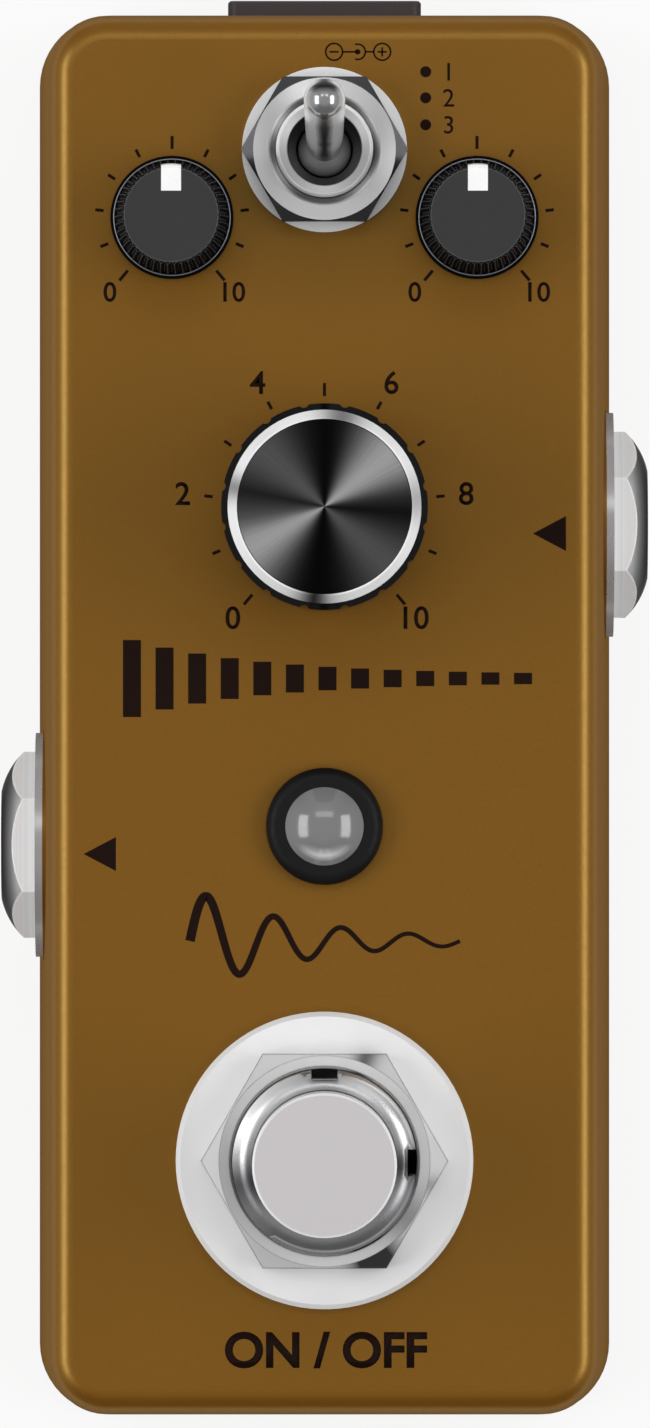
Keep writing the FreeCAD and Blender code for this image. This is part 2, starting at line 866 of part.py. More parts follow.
def make_toggle_case():
    case = box(
        toggle_case_width, toggle_case_length, toggle_case_height, 0, toggle_y, board_top_z
    )
    well_top = board_top_z + toggle_case_height
    tail_reach = lever_tail_length * math.sin(math.radians(toggle_tilt))
    well_low = toggle_pivot_z - lever_tail_length - lever_tail_clearance
    well_radius = tail_reach + lever_tail_radius + lever_tail_clearance
    if well_low < well_top:
        case = case.cut(cylinder(well_radius, well_low, well_top, 0, toggle_y))
    return case


def toggle_terminal_places():
    return [(0, toggle_y + k * toggle_terminal_pitch) for k in (-1, 0, 1)]


def make_toggle_terminals():
    return [
        box(toggle_terminal_width, toggle_terminal_thickness, board_thickness, x, y,
            board_bottom_z)
        for x, y in toggle_terminal_places()
    ]


# Potentiometers and knobs


def pot_collar_radius(shaft_radius):
    return shaft_radius + running_clearance + pot_collar_wall


def make_pot_case(x, y, shaft_radius):
    body = box(pot_width, pot_length, pot_case_height, x, y, board_top_z)
    collar_top = ceiling_z - pot_ceiling_gap
    collar = cylinder(pot_collar_radius(shaft_radius), board_top_z, collar_top, x, y)
    bore = cylinder(
        shaft_radius + running_clearance, board_top_z + pot_floor, collar_top, x, y
    )
    return fused([body, collar]).cut(bore)


def shaft_flat(radius, z_low, z_high):
    """What the flat takes off the front of a shaft about the Z axis."""
    depth = radius * shaft_flat_share
    return box(2.2 * radius, 2 * depth, z_high - z_low, 0, -radius, z_low)


def make_pot_shaft(x, y, radius, z_high):
    z_low = board_top_z + pot_floor + touch_gap
    shaft = cylinder(radius, z_low, z_high)
    shaft = shaft.cut(shaft_flat(radius, knob_bottom_z, z_high))
    return moved(shaft, x, y)


def knob_bore(radius, z_high):
    """A D-shaped bore that takes a shaft with its flat."""
    wide = radius + knob_bore_clearance
    bore = cylinder(wide, knob_bottom_z, z_high + touch_gap)
    depth = radius * shaft_flat_share - knob_bore_clearance
    flat = box(2.2 * wide, 2 * depth, z_high + touch_gap - knob_bottom_z, 0, -radius,
               knob_bottom_z)
    return bore.cut(flat)


def small_shaft_top_z():
    return knob_bottom_z + small_knob_height - knob_roof


def time_shaft_top_z():
    return knob_bottom_z + time_knob_height - time_knob_roof


def toothed_ring(radius, z):
    """A closed polygon of teeth whose tips lie on a circle."""
    corners = []
    for k in range(2 * small_knob_teeth):
        reach = radius - (small_knob_tooth_depth if k % 2 else 0)
        angle = math.pi * k / small_knob_teeth
        corners.append(Vector(reach * math.cos(angle), reach * math.sin(angle), z))
    return Part.makePolygon(corners + corners[:1])


def pointer_block(clearance):
    """The space of a small knob's white pointer, from its top down its rear side."""
    knob_top = knob_bottom_z + small_knob_height
    outside = small_knob_line_radius
    inside = small_knob_top_radius - pointer_length
    width = pointer_width + 2 * clearance
    top = box(width, outside - inside + clearance, pointer_depth + clearance, 0,
              (outside + inside - clearance) / 2, knob_top - pointer_depth - clearance)
    back = small_knob_top_radius - pointer_depth - clearance
    side = box(width, outside - back, pointer_drop + clearance, 0, (outside + back) / 2,
               knob_top - pointer_drop - clearance)
    return fused([top, side])


def small_knob_body():
    """A knob about the Z axis: a plain skirt, a tapering knurled side and a flat disc on top."""
    skirt_z = knob_bottom_z + small_knob_skirt_height
    top = knob_bottom_z + small_knob_height
    teeth_top = top - small_knob_cap_height
    root = small_knob_line_radius - small_knob_tooth_depth
    skirt = turned(
        [
            (0, knob_bottom_z),
            (small_knob_radius, knob_bottom_z),
            (small_knob_radius, skirt_z - small_knob_tooth_depth),
            (root, skirt_z),
            (0, skirt_z),
        ]
    )
    teeth = Part.makeLoft(
        [
            toothed_ring(small_knob_line_radius, skirt_z),
            toothed_ring(small_knob_top_radius + small_knob_tooth_depth, teeth_top),
        ],
        True,
        True,
    )
    disc = cylinder(small_knob_top_radius, teeth_top, top)
    return fused([skirt, teeth, disc])


def make_small_knob(x):
    knob = small_knob_body()
    knob = knob.cut([knob_bore(small_shaft_radius, small_shaft_top_z()), pointer_block(0)])
    return moved(knob, x, small_knob_y)


def make_small_knob_pointer(x):
    """The white insert, cut to the knob's own taper."""
    skirt_z = knob_bottom_z + small_knob_skirt_height
    top = knob_bottom_z + small_knob_height
    envelope = turned(
        [(0, skirt_z), (small_knob_line_radius, skirt_z),
         (small_knob_top_radius + small_knob_tooth_depth, top - small_knob_tooth_depth),
         (small_knob_top_radius, top), (0, top)]
    )
    return moved(pointer_block(0).common(envelope), x, small_knob_y)


def make_time_knob():
    """The grooved grip, hollow round its hub, with a seat for the bright rim."""
    top = knob_bottom_z + time_knob_height
    shoulder_z = top - rim_bevel_height
    seat_z = top - rim_height
    bevel = time_knob_bevel_height
    grip = turned(
        [
            (0, knob_bottom_z),
            (time_knob_radius, knob_bottom_z),
            (time_knob_radius, shoulder_z - bevel),
            (rim_outer_radius + insert_clearance, shoulder_z),
            (rim_outer_radius + insert_clearance, seat_z),
            (0, seat_z),
        ]
    )
    hollow = tube(
        time_knob_radius - time_knob_groove_depth - time_knob_wall,
        time_knob_hub_radius,
        knob_bottom_z,
        knob_bottom_z + time_knob_hollow_depth,
    )
    grooves = []
    reach = time_knob_radius + time_knob_groove_radius - time_knob_groove_depth
    for k in range(time_knob_grooves):
        angle = math.radians(90 + 360 / time_knob_grooves * (k + 0.5))
        grooves.append(
            cylinder(time_knob_groove_radius, knob_bottom_z, top,
                     reach * math.cos(angle), reach * math.sin(angle))
        )
    bore = knob_bore(time_shaft_radius, time_shaft_top_z())
    return moved(grip.cut([hollow, bore] + grooves), 0, time_knob_y)


def make_time_knob_rim():
    """The bright ring, its upper face cut to a bevel that rises to the middle."""
    top = knob_bottom_z + time_knob_height
    return turned(
        [
            (rim_inner_radius, top - rim_height),
            (rim_outer_radius, top - rim_height),
            (rim_outer_radius, top - rim_bevel_height),
            (rim_inner_radius + rim_land, top),
            (rim_inner_radius, top),
        ],
        y=time_knob_y,
    )


def make_time_knob_insert():
    top = knob_bottom_z + time_knob_height
    return cylinder(
        rim_inner_radius - insert_clearance, top - rim_height, top - insert_recess, 0,
        time_knob_y
    )


# Lamp


def make_led_bezel():
    """The black collar of the lamp, its flange rounded down to the case."""
    inner = lens_radius + lens_clearance
    z_high = top_z + bezel_height
    shoulder = bezel_radius - bezel_dome
    slant = bezel_dome * math.sqrt(0.5)
    z_low = top_z - bezel_barrel_length
    corners = [
        (inner, z_high),
        (inner, z_low),
        (bezel_barrel_radius, z_low),
        (bezel_barrel_radius, top_z),
        (bezel_radius, top_z),
        (bezel_radius, z_high - bezel_dome),
    ]
    edges = [line(a, b) for a, b in zip(corners, corners[1:])]
    middle = (shoulder + slant, z_high - bezel_dome + slant)
    edges.append(arc(corners[-1], middle, (shoulder, z_high)))
    edges.append(line((shoulder, z_high), corners[0]))
    return turned_edges(edges, y=lamp_y)


def make_led_bezel_ring():
    return tube(
        bezel_ring_radius,
        bezel_barrel_radius + thread_clearance,
        ceiling_z - bezel_ring_thickness,
        ceiling_z,
        0,
        lamp_y,
    )


def make_led_lens():
    """The lamp's domed body on its flange."""
    flange_low = lens_flange_top_z - lens_flange_thickness
    dome_z = lens_top_z - lens_radius
    slant = lens_radius * math.sqrt(0.5)
    return turned_edges(
        [
            line((0, flange_low), (lens_flange_radius, flange_low)),
            line((lens_flange_radius, flange_low), (lens_flange_radius, lens_flange_top_z)),
            line((lens_flange_radius, lens_flange_top_z), (lens_radius, lens_flange_top_z)),
            line((lens_radius, lens_flange_top_z), (lens_radius, dome_z)),
            arc((lens_radius, dome_z), (slant, dome_z + slant), (0, lens_top_z)),
            line((0, lens_top_z), (0, flange_low)),
        ],
        y=lamp_y,
    )


def make_led_leads():
    height = lens_flange_top_z - lens_flange_thickness - board_top_z
    return [
        box(lead_size, lead_size, height, side * lead_pitch / 2, lamp_y, board_top_z)
        for side in (-1, 1)
    ]


# Audio jacks, each made about the Z axis with its seat on the wall at z = 0


def make_jack_washer():
    inner = jack_bushing_radius + hole_clearance
    return tube(jack_washer_radius, inner, 0, jack_washer_thickness)


def make_jack_nut():
    """A domed hexagonal nut whose lip covers the end of the bushing."""
    z_low = jack_washer_thickness
    z_high = z_low + jack_nut_thickness
    corner = jack_nut_corner_radius
    corner_z = z_low + jack_nut_corner_height
    face = jack_nut_face_radius
    run, rise = corner - face, z_high - corner_z
    chord = math.hypot(run, rise)
    middle = (
        (corner + face) / 2 + rise / chord * jack_nut_dome_rise,
        (corner_z + z_high) / 2 + run / chord * jack_nut_dome_rise,
    )
    envelope = turned_edges(
        [
            line((0, z_low), (corner, z_low)),
            line((corner, z_low), (corner, corner_z)),
            arc((corner, corner_z), middle, (face, z_high)),
            line((face, z_high), (0, z_high)),
            line((0, z_high), (0, z_low)),
        ]
    )
    nut = hexagon(corner * math.sqrt(3), z_low, z_high)
    nut.rotate(Vector(0, 0, 0), Vector(0, 0, 1), 30)
    nut = nut.common(envelope)
    thread = cylinder(jack_bushing_radius + thread_clearance, z_low, z_high - jack_nut_lip)
    return nut.cut([thread, cylinder(jack_nut_hole_radius, z_low, z_high)])


def make_jack_bushing():
    top = jack_washer_thickness + jack_nut_thickness - jack_nut_lip - touch_gap
    low = -jack_inner_seat_depth - jack_bushing_inside
    return tube(jack_bushing_radius, jack_bore_radius, low, top)


def contact_slot(side):
    """The pocket of one contact leaf beside the plug's way, on the +Y or -Y side."""
    depth = jack_cavity_radius + contact_slot_depth
    top = -jack_inner_seat_depth - jack_bushing_inside - jack_cavity_floor
    return Part.makeBox(
        contact_width + 2 * touch_gap,
        depth,
        contact_length + 2 * touch_gap,
        Vector(-contact_width / 2 - touch_gap, 0 if side > 0 else -depth,
               top - contact_length - 2 * touch_gap),
    )


def make_jack_housing():
    top = -jack_inner_seat_depth
    block = box(jack_housing_height, jack_housing_width, jack_housing_length, 0, 0,
                top - jack_housing_length)
    seat = cylinder(jack_bushing_radius + running_clearance, top - jack_bushing_inside, top)
    cavity = cylinder(jack_cavity_radius, top - jack_housing_length + jack_cavity_floor, top)
    return block.cut([seat, cavity, contact_slot(1), contact_slot(-1)])


def make_jack_contacts():
    """Two sprung leaves, one each side of the plug's way, each with a folded foot at its root."""
    top = -jack_inner_seat_depth - jack_bushing_inside - jack_cavity_floor - touch_gap
    outside = jack_cavity_radius + contact_slot_depth - touch_gap
    leaves = []
    for side in (-1, 1):
        low = top - contact_length
        leaf = box(contact_width, contact_thickness, contact_length, 0,
                   side * (outside - contact_lift - contact_thickness / 2), low)
        foot_depth = contact_lift + contact_thickness
        foot = box(contact_width, foot_depth, contact_tail, 0,
                   side * (outside - foot_depth / 2), low)
        leaves.append(fused([leaf, foot]))
    return leaves


# Power socket, made about the Z axis with its face at z = 0 and turned to the rear


def to_rear(shape):
    copy = shape.copy()
    copy.rotate(Vector(0, 0, 0), Vector(1, 0, 0), -90)
    copy.translate(Vector(0, rear_y(power_z) + power_jack_rise, power_z))
    return copy


def power_slot():
    """The pocket of the socket's contact leaf, beside its bore."""
    wide = power_leaf_width + 2 * power_slot_clearance
    long = power_leaf_length + 2 * power_slot_clearance
    reach = power_bore_radius + power_leaf_thickness + 2 * power_slot_clearance
    return Part.makeBox(wide, reach, long, Vector(-wide / 2, 0, -power_bore_depth))


def make_power_jack_housing():
    block = rounded_block(power_jack_width, power_jack_height, power_jack_corner,
                          -power_jack_length, 0)
    front = [edge for edge in block.Edges if all(abs(v.Point.z) < 1e-6 for v in edge.Vertexes)]
    block = block.makeChamfer(power_jack_edge, front)
    bore = cylinder(power_bore_radius, -power_bore_depth, 0)
    root = cylinder(power_root_radius, -power_bore_depth - power_pin_root, 0)
    return to_rear(block.cut([bore, root, power_slot()]))


def make_power_jack_pin():
    point = power_pin_radius / 2
    low = -power_bore_depth - power_pin_root
    pin = turned(
        [
            (0, low),
            (power_root_radius, low),
            (power_root_radius, -power_bore_depth),
            (power_pin_radius, -power_bore_depth),
            (power_pin_radius, -power_pin_setback - point),
            (power_pin_radius - point, -power_pin_setback),
            (0, -power_pin_setback),
        ]
    )
    return to_rear(pin)


def make_power_jack_contact():
    leaf = Part.makeBox(
        power_leaf_width,
        power_leaf_thickness,
        power_leaf_length,
        Vector(-power_leaf_width / 2, power_bore_radius + power_slot_clearance,
               -power_bore_depth + power_slot_clearance),
    )
    return to_rear(leaf)


# Boards and what is on them


def board_side_x():
    return side_x(jack_z) - jack_inner_seat_depth - board_seat_gap


def board_rear_y():
    return rear_y(board_top_z) - side_wall - board_wall_gap


def make_main_board():
    """The main circuit board, notched round the two rear bosses."""
    wide, rear = board_side_x(), board_rear_y()
    notch_x = boss_x - boss_radius - board_boss_gap
    notch_y = boss_y - boss_radius - board_boss_gap
    outline = [
        (-wide, board_front_y), (wide, board_front_y), (wide, notch_y), (notch_x, notch_y),
        (notch_x, rear), (-notch_x, rear), (-notch_x, notch_y), (-wide, notch_y),
    ]
    corners = [Vector(x, y, board_bottom_z) for x, y in outline]
    board = Part.Face(Part.makePolygon(corners + corners[:1])).extrude(
        Vector(0, 0, board_thickness)
    )
    wide_slot = toggle_terminal_width + 2 * hole_clearance
    deep_slot = toggle_terminal_thickness + 2 * hole_clearance
    slots = [
        box(wide_slot, deep_slot, board_thickness, x, y, board_bottom_z)
        for x, y in toggle_terminal_places()
    ]
    return board.cut(slots)


def board_row(lengths):
    """The middles of pieces in a row from the header to the small potentiometers, evenly spaced."""
    front = board_front_y + header_width
    rear = small_knob_y - pot_length / 2
    gap = (rear - front - sum(lengths)) / (len(lengths) + 1)
    middles = []
    for length in lengths:
        middles.append(front + gap + length / 2)
        front += gap + length
    return middles


def left_row():
    """Where the delay chip and two capacitors stand along the board's left side."""
    return board_row([chip_length, 2 * capacitor_radius, 2 * capacitor_radius])


def right_row():
    """Where the two amplifier chips and two capacitors stand along the board's right side."""
    return board_row(
        [amplifier_length, amplifier_length, 2 * capacitor_radius, 2 * capacitor_radius]
    )


def make_chip(length, width, height, lead_count, side, y):
    """A chip with a row of leads along two sides, near one side of the board."""
    x = side * (board_side_x() - chip_side_gap - chip_lead_length - width / 2)
    body = box(width, length, height, x, y, board_top_z)
    lead_bars = [
        box(width + 2 * chip_lead_length, chip_lead_width, chip_lead_height, x,
            y + (k - (lead_count - 1) / 2) * chip_lead_pitch, board_top_z)
        for k in range(lead_count)
    ]
    return fused([body] + lead_bars)


def make_delay_chips():
    chips = [make_chip(chip_length, chip_width, chip_height, chip_lead_count, -1, left_row()[0])]
    for y in right_row()[:2]:
        chips.append(
            make_chip(amplifier_length, amplifier_width, amplifier_height,
                      amplifier_lead_count, 1, y)
        )
    return chips


def make_capacitors():
    cans = []
    reach = board_side_x() - capacitor_side_gap - capacitor_radius
    places = [(-reach, y) for y in left_row()[1:]] + [(reach, y) for y in right_row()[2:]]
    for x, y in places:
        base = box(2 * capacitor_radius, 2 * capacitor_radius, capacitor_base, x, y, board_top_z)
        can = cylinder(capacitor_radius, board_top_z, board_top_z + capacitor_height, x, y)
        cans.append(fused([base, can]))
    return cans


def make_board_header():
    """The main board's socket of the flat cable, with the slot that the cable plugs into."""
    y = board_front_y + header_width / 2
    body = box(header_length, header_width, header_height, 0, y, board_top_z)
    slot = box(cable_width + 2 * touch_gap, header_width / 2 + touch_gap,
               cable_thickness + 2 * touch_gap, 0,
               board_front_y + header_width / 4 + touch_gap / 2,
               board_top_z + cable_lift - touch_gap)
    return body.cut(slot)


def make_ribbon_cable():
    """The flat cable from the main board's header, bent down to the switch board."""
    start = Vector(0, board_front_y + header_width / 2, board_top_z + cable_lift + cable_thickness / 2)
    bend = Vector(0, cable_drop_y, start.z)
    end = Vector(0, cable_drop_y, switch_board_top_z)
    before = bend + Vector(0, cable_radius, 0)
    after = bend - Vector(0, 0, cable_radius)
    inner = cable_radius * (1 - math.sqrt(0.5))
    middle = bend + Vector(0, inner, -inner)
    path = Part.Wire(
        [
            Part.LineSegment(start, before).toShape(),
            Part.Arc(before, middle, after).toShape(),
            Part.LineSegment(after, end).toShape(),
        ]
    )
    half_x, half_z = cable_width / 2, cable_thickness / 2
    corners = [start + Vector(x, 0, z) for x, z in
               ((-half_x, -half_z), (half_x, -half_z), (half_x, half_z), (-half_x, half_z))]
    section = Part.makePolygon(corners + corners[:1])
    return path.makePipeShell([section], True, False)


def sub_parts():
    """Every node's name with its solid or solids."""
    parts = {
        "enclosure": make_enclosure(),
        "base_plate": make_base_plate(),
        "base_plate_screws": make_base_plate_screws(),
        "rubber_pad": make_rubber_pad(),
        "footswitch_washer": make_footswitch_washer(),
        "footswitch_nut": make_footswitch_nut(),
        "footswitch_inner_nut": make_footswitch_inner_nut(),
        "footswitch_lock_washer": make_footswitch_lock_washer(),
        "footswitch_bushing": make_footswitch_bushing(),
        "footswitch_plunger": make_footswitch_plunger(),
        "footswitch_spring": make_footswitch_spring(),
        "footswitch_frame": make_footswitch_frame(),
        "footswitch_case": make_footswitch_case(),
        "footswitch_lugs": make_footswitch_lugs(),
        "footswitch_board": make_footswitch_board(),
        "toggle_washer": make_toggle_washer(),
        "toggle_nut": make_toggle_nut(),
        "toggle_inner_nut": make_toggle_inner_nut(),
        "toggle_bushing": make_toggle_bushing(),
        "toggle_lever": make_toggle_lever(),
        "toggle_case": make_toggle_case(),
        "toggle_terminals": make_toggle_terminals(),
        "time_knob": make_time_knob(),
        "time_knob_rim": make_time_knob_rim(),
        "time_knob_insert": make_time_knob_insert(),
        "time_pot_case": make_pot_case(0, time_knob_y, time_shaft_radius),
        "time_pot_shaft": make_pot_shaft(0, time_knob_y, time_shaft_radius, time_shaft_top_z()),
        "led_bezel": make_led_bezel(),
        "led_bezel_ring": make_led_bezel_ring(),
        "led_lens": make_led_lens(),
        "led_leads": make_led_leads(),
        "power_jack_housing": make_power_jack_housing(),
        "power_jack_pin": make_power_jack_pin(),
        "power_jack_contact": make_power_jack_contact(),
        "main_board": make_main_board(),
        "delay_chips": make_delay_chips(),
        "capacitors": make_capacitors(),
        "board_header": make_board_header(),
        "ribbon_cable": make_ribbon_cable(),
    }
    for name, x in (("level", -small_knob_x), ("feedback", small_knob_x)):
        parts[name + "_knob"] = make_small_knob(x)
        parts[name + "_knob_pointer"] = make_small_knob_pointer(x)
        parts[name + "_pot_case"] = make_pot_case(x, small_knob_y, small_shaft_radius)
        parts[name + "_pot_shaft"] = make_pot_shaft(
            x, small_knob_y, small_shaft_radius, small_shaft_top_z()
        )
    jack_pieces = {
        "washer": make_jack_washer(),
        "nut": make_jack_nut(),
        "bushing": make_jack_bushing(),
        "housing": make_jack_housing(),
        "contacts": Part.makeCompound(make_jack_contacts()),
    }
    for name, side, y in (("input", 1, input_jack_y), ("output", -1, output_jack_y)):
        for piece, shape in jack_pieces.items():
            parts[f"{name}_jack_{piece}"] = along_x(shape, side, y)
    return parts


os.makedirs("parts", exist_ok=True)
for node, made in sub_parts().items():
    whole = Part.makeCompound(made) if isinstance(made, list) else made
    whole.exportStep(os.path.join("parts", node + ".step"))
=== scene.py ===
"""The looks of a mini delay pedal: paint, plating, plastic, print, threads and lamp, in metres."""
import bmesh
import bpy
import math
from mathutils import Matrix, Vector


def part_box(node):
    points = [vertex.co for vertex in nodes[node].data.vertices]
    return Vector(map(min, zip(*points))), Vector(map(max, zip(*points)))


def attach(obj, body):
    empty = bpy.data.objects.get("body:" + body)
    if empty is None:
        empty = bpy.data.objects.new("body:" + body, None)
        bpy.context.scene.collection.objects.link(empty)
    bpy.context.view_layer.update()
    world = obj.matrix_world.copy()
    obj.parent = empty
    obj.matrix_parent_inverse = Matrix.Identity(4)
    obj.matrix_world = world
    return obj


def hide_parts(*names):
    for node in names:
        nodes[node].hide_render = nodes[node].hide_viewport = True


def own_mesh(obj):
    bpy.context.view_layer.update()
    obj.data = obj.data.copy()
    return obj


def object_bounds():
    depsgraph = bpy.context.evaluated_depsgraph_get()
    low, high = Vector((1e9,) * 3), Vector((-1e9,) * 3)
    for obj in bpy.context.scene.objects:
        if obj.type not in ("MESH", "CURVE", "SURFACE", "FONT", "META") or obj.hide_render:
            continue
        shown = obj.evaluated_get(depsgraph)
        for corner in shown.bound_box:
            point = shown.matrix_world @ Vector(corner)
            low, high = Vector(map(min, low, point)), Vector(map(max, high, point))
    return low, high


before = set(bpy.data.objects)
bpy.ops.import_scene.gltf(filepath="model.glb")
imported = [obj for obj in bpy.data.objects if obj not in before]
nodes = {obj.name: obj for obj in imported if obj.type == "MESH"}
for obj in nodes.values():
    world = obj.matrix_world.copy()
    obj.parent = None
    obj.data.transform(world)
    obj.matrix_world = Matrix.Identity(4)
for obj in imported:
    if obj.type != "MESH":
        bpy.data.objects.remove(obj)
cad_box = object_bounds()
scene = bpy.context.scene

MM = 0.001
CASE = "case_assembly"

# The photograph: a top view whose frame is 650 by 1428 pixels
PHOTO_WIDTH = 650
PHOTO_HEIGHT = 1428
BODY_CENTRE_PX = (324.5, 715.0)
BODY_LENGTH_PX = 1398.0
CASE_LENGTH = 93.5 * MM
METRES_PER_PX = CASE_LENGTH / BODY_LENGTH_PX
CAMERA_HEIGHT = 1.5
SENSOR = 36.0

SMALL_KNOBS = ("level", "feedback")
WELD = 1e-8  # vertices closer than this are one

top_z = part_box("enclosure")[1].z


def node_centre(name):
    low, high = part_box(name)
    return (low + high) / 2


def photo_point(x_px, y_px):
    """The (x, y) on the case's top that a photo pixel shows."""
    scale = METRES_PER_PX * (CAMERA_HEIGHT - top_z) / CAMERA_HEIGHT
    return (x_px - BODY_CENTRE_PX[0]) * scale, (BODY_CENTRE_PX[1] - y_px) * scale


# Node trees

WEAR_SIZE = 2.5 * MM
NOISE_RANGE = (0.3, 0.7)  # where nearly all of a noise's values lie
BEVEL_SAMPLES = 6


def add_node(tree, kind, inputs=(), **settings):
    """A node with its settings, and a value or a link in each of the inputs."""
    made = tree.nodes.new(kind)
    for key, value in settings.items():
        setattr(made, key, value)
    for key, value in dict(inputs).items():
        if isinstance(value, bpy.types.NodeSocket):
            tree.links.new(value, made.inputs[key])
        else:
            made.inputs[key].default_value = value
    return made


class Shader:
    """A material with one Principled shader, and short calls that add nodes to it."""

    def __init__(self, name, color=None, metallic=0.0, roughness=0.5, **sockets):
        self.material = bpy.data.materials.new(name)
        self.material.use_nodes = True
        self.tree = self.material.node_tree
        self.bsdf = self.tree.nodes["Principled BSDF"]
        if color is not None:
            self.bsdf.inputs["Base Color"].default_value = (*color, 1)
        self.bsdf.inputs["Metallic"].default_value = metallic
        self.bsdf.inputs["Roughness"].default_value = roughness
        for socket, value in sockets.items():
            self.bsdf.inputs[socket.replace("_", " ")].default_value = value
        self.place = self.tree.nodes.new("ShaderNodeTexCoord").outputs["Object"]

    def node(self, kind, inputs=(), **settings):
        return add_node(self.tree, kind, inputs, **settings)

    def math(self, operation, a, b=0.0):
        return self.node("ShaderNodeMath", {0: a, 1: b}, operation=operation).outputs[0]

    def vector_math(self, operation, a, b=(0, 0, 0)):
        made = self.node("ShaderNodeVectorMath", {0: a, 1: b}, operation=operation)
        return made.outputs["Value" if operation in ("LENGTH", "DOT_PRODUCT") else "Vector"]

    def noise(self, size, detail=3.0, rough=0.5, vector=None):
        """Noise whose grains are about size metres across, from 0 to 1."""
        place = self.place if vector is None else vector
        made = self.node("ShaderNodeTexNoise", {
            "Vector": place, "Scale": 1 / size, "Detail": detail, "Roughness": rough})
        return made.outputs["Fac"]

    def cells(self, size):
        """The distance from the middles of cells about size metres across."""
        made = self.node("ShaderNodeTexVoronoi", {"Vector": self.place, "Scale": 1 / size})
        return made.outputs["Distance"]

    def span(self, value, low, high, out_low, out_high):
        """The value mapped from one range to another, and clamped."""
        made = self.node("ShaderNodeMapRange", {
            "Value": value, "From Min": low, "From Max": high, "To Min": out_low,
            "To Max": out_high})
        return made.outputs["Result"]

    def rise(self, value, low, high):
        """0 up to low and 1 from high on."""
        return self.span(value, low, high, 0.0, 1.0)

    def fall(self, value, low, high):
        """1 up to low and 0 from high on."""
        return self.span(value, low, high, 1.0, 0.0)

    def between(self, share, start, end):
        """The value start where a share is 0, and end where it is 1."""
        return self.span(share, 0.0, 1.0, start, end)

    def spread(self, noise, low, high):
        """Noise that is stretched over a range of values."""
        return self.span(noise, *NOISE_RANGE, low, high)

    def blend(self, factor, color_a, color_b):
        made = self.node("ShaderNodeMix", {"Factor": factor}, data_type="RGBA")
        for name, color in (("A", color_a), ("B", color_b)):
            socket = [s for s in made.inputs if s.name == name and s.type == "RGBA"][0]
            if isinstance(color, bpy.types.NodeSocket):
                self.tree.links.new(color, socket)
            else:
                socket.default_value = (*color, 1)
        return [s for s in made.outputs if s.type == "RGBA"][0]

    def to(self, socket, value):
        self.tree.links.new(value, self.bsdf.inputs[socket])

    def bump(self, height, distance):
        made = self.node("ShaderNodeBump", {"Height": height, "Distance": distance})
        self.to("Normal", made.outputs["Normal"])

    def grain(self, size, depth, detail=2.0):
        """A fine unevenness of the surface."""
        self.bump(self.noise(size, detail), depth)

    def split(self, vector):
        return self.node("ShaderNodeSeparateXYZ", {"Vector": vector}).outputs

    def part(self, axis):
        """One coordinate of the place."""
        return self.split(self.place)[axis]

    def facing(self, axis):
        """One coordinate of the surface's normal."""
        return self.split(self.node("ShaderNodeTexCoord").outputs["Normal"])[axis]

    def offset(self, centre):
        """The place as seen from a centre."""
        return self.vector_math("SUBTRACT", self.place, tuple(centre))

    def radius_about(self, centre, axis="Z"):
        """How far a point lies from a line through centre along an axis."""
        across = {"X": (0, 1, 1), "Z": (1, 1, 0)}[axis]
        return self.vector_math(
            "LENGTH", self.vector_math("MULTIPLY", self.offset(centre), across))

    def marks(self, size, distance):
        """Noise that changes with one distance alone: brush marks or turning marks."""
        vector = self.node("ShaderNodeCombineXYZ", {"X": distance}).outputs["Vector"]
        return self.noise(size, detail=2.0, rough=0.6, vector=vector)

    def edges(self, radius, smooth=0.99, sharp=0.93):
        """Rises from 0 on smooth faces to 1 at the edges, over about a radius."""
        rounded = self.node("ShaderNodeBevel", {"Radius": radius}, samples=BEVEL_SAMPLES)
        plain = self.node("ShaderNodeNewGeometry")
        likeness = self.vector_math(
            "DOT_PRODUCT", rounded.outputs["Normal"], plain.outputs["Normal"])
        return self.rise(likeness, smooth, sharp)

    def level_share(self):
        """1 where a surface is level, and 0 where it leans or stands."""
        return self.rise(self.facing("Z"), 0.9, 0.97)

    def turn(self, centre):
        """The angle about a Z axis, in radians."""
        parts = self.split(self.offset(centre))
        return self.math("ARCTAN2", parts["Y"], parts["X"])

    def fans(self, turn, lobes):
        """At each turn, the strongest of some lobes of painted light or shade."""
        strongest = None
        for angle, strength, narrowness in lobes:
            swing = self.math("COSINE", self.math("SUBTRACT", turn, math.radians(angle)))
            rise = self.math("POWER", self.math("MAXIMUM", swing, 0.0), narrowness)
            fan = self.math("MULTIPLY", rise, strength)
            strongest = fan if strongest is None else self.math("MAXIMUM", strongest, fan)
        return strongest

    def wear(self, size=WEAR_SIZE):
        """Slow, cloudy noise: where handling has left a surface more or less bright."""
        return self.noise(size, detail=4.0, rough=0.6)

    def uneven_roughness(self, wear, roughness):
        self.to("Roughness", self.spread(wear, roughness * 0.85, roughness * 1.2))

    def radial_tangent(self):
        """Turns the shine's direction so that light fans out from a Z axis."""
        tangent = self.node("ShaderNodeTangent", direction_type="RADIAL", axis="Z")
        self.to("Tangent", tangent.outputs["Tangent"])


def linear(r, g, b):
    """An sRGB colour of 0 to 255, as the linear values that shaders take."""

    def channel(value):
        value /= 255
        return value / 12.92 if value <= 0.04045 else ((value + 0.055) / 1.055) ** 2.4

    return tuple(channel(v) for v in (r, g, b))


def scaled(color, factor):
    return tuple(min(1.0, v * factor) for v in color)


# Materials

BRONZE = linear(117, 70, 4)
INK = linear(27, 14, 9)
NICKEL = linear(222, 222, 224)
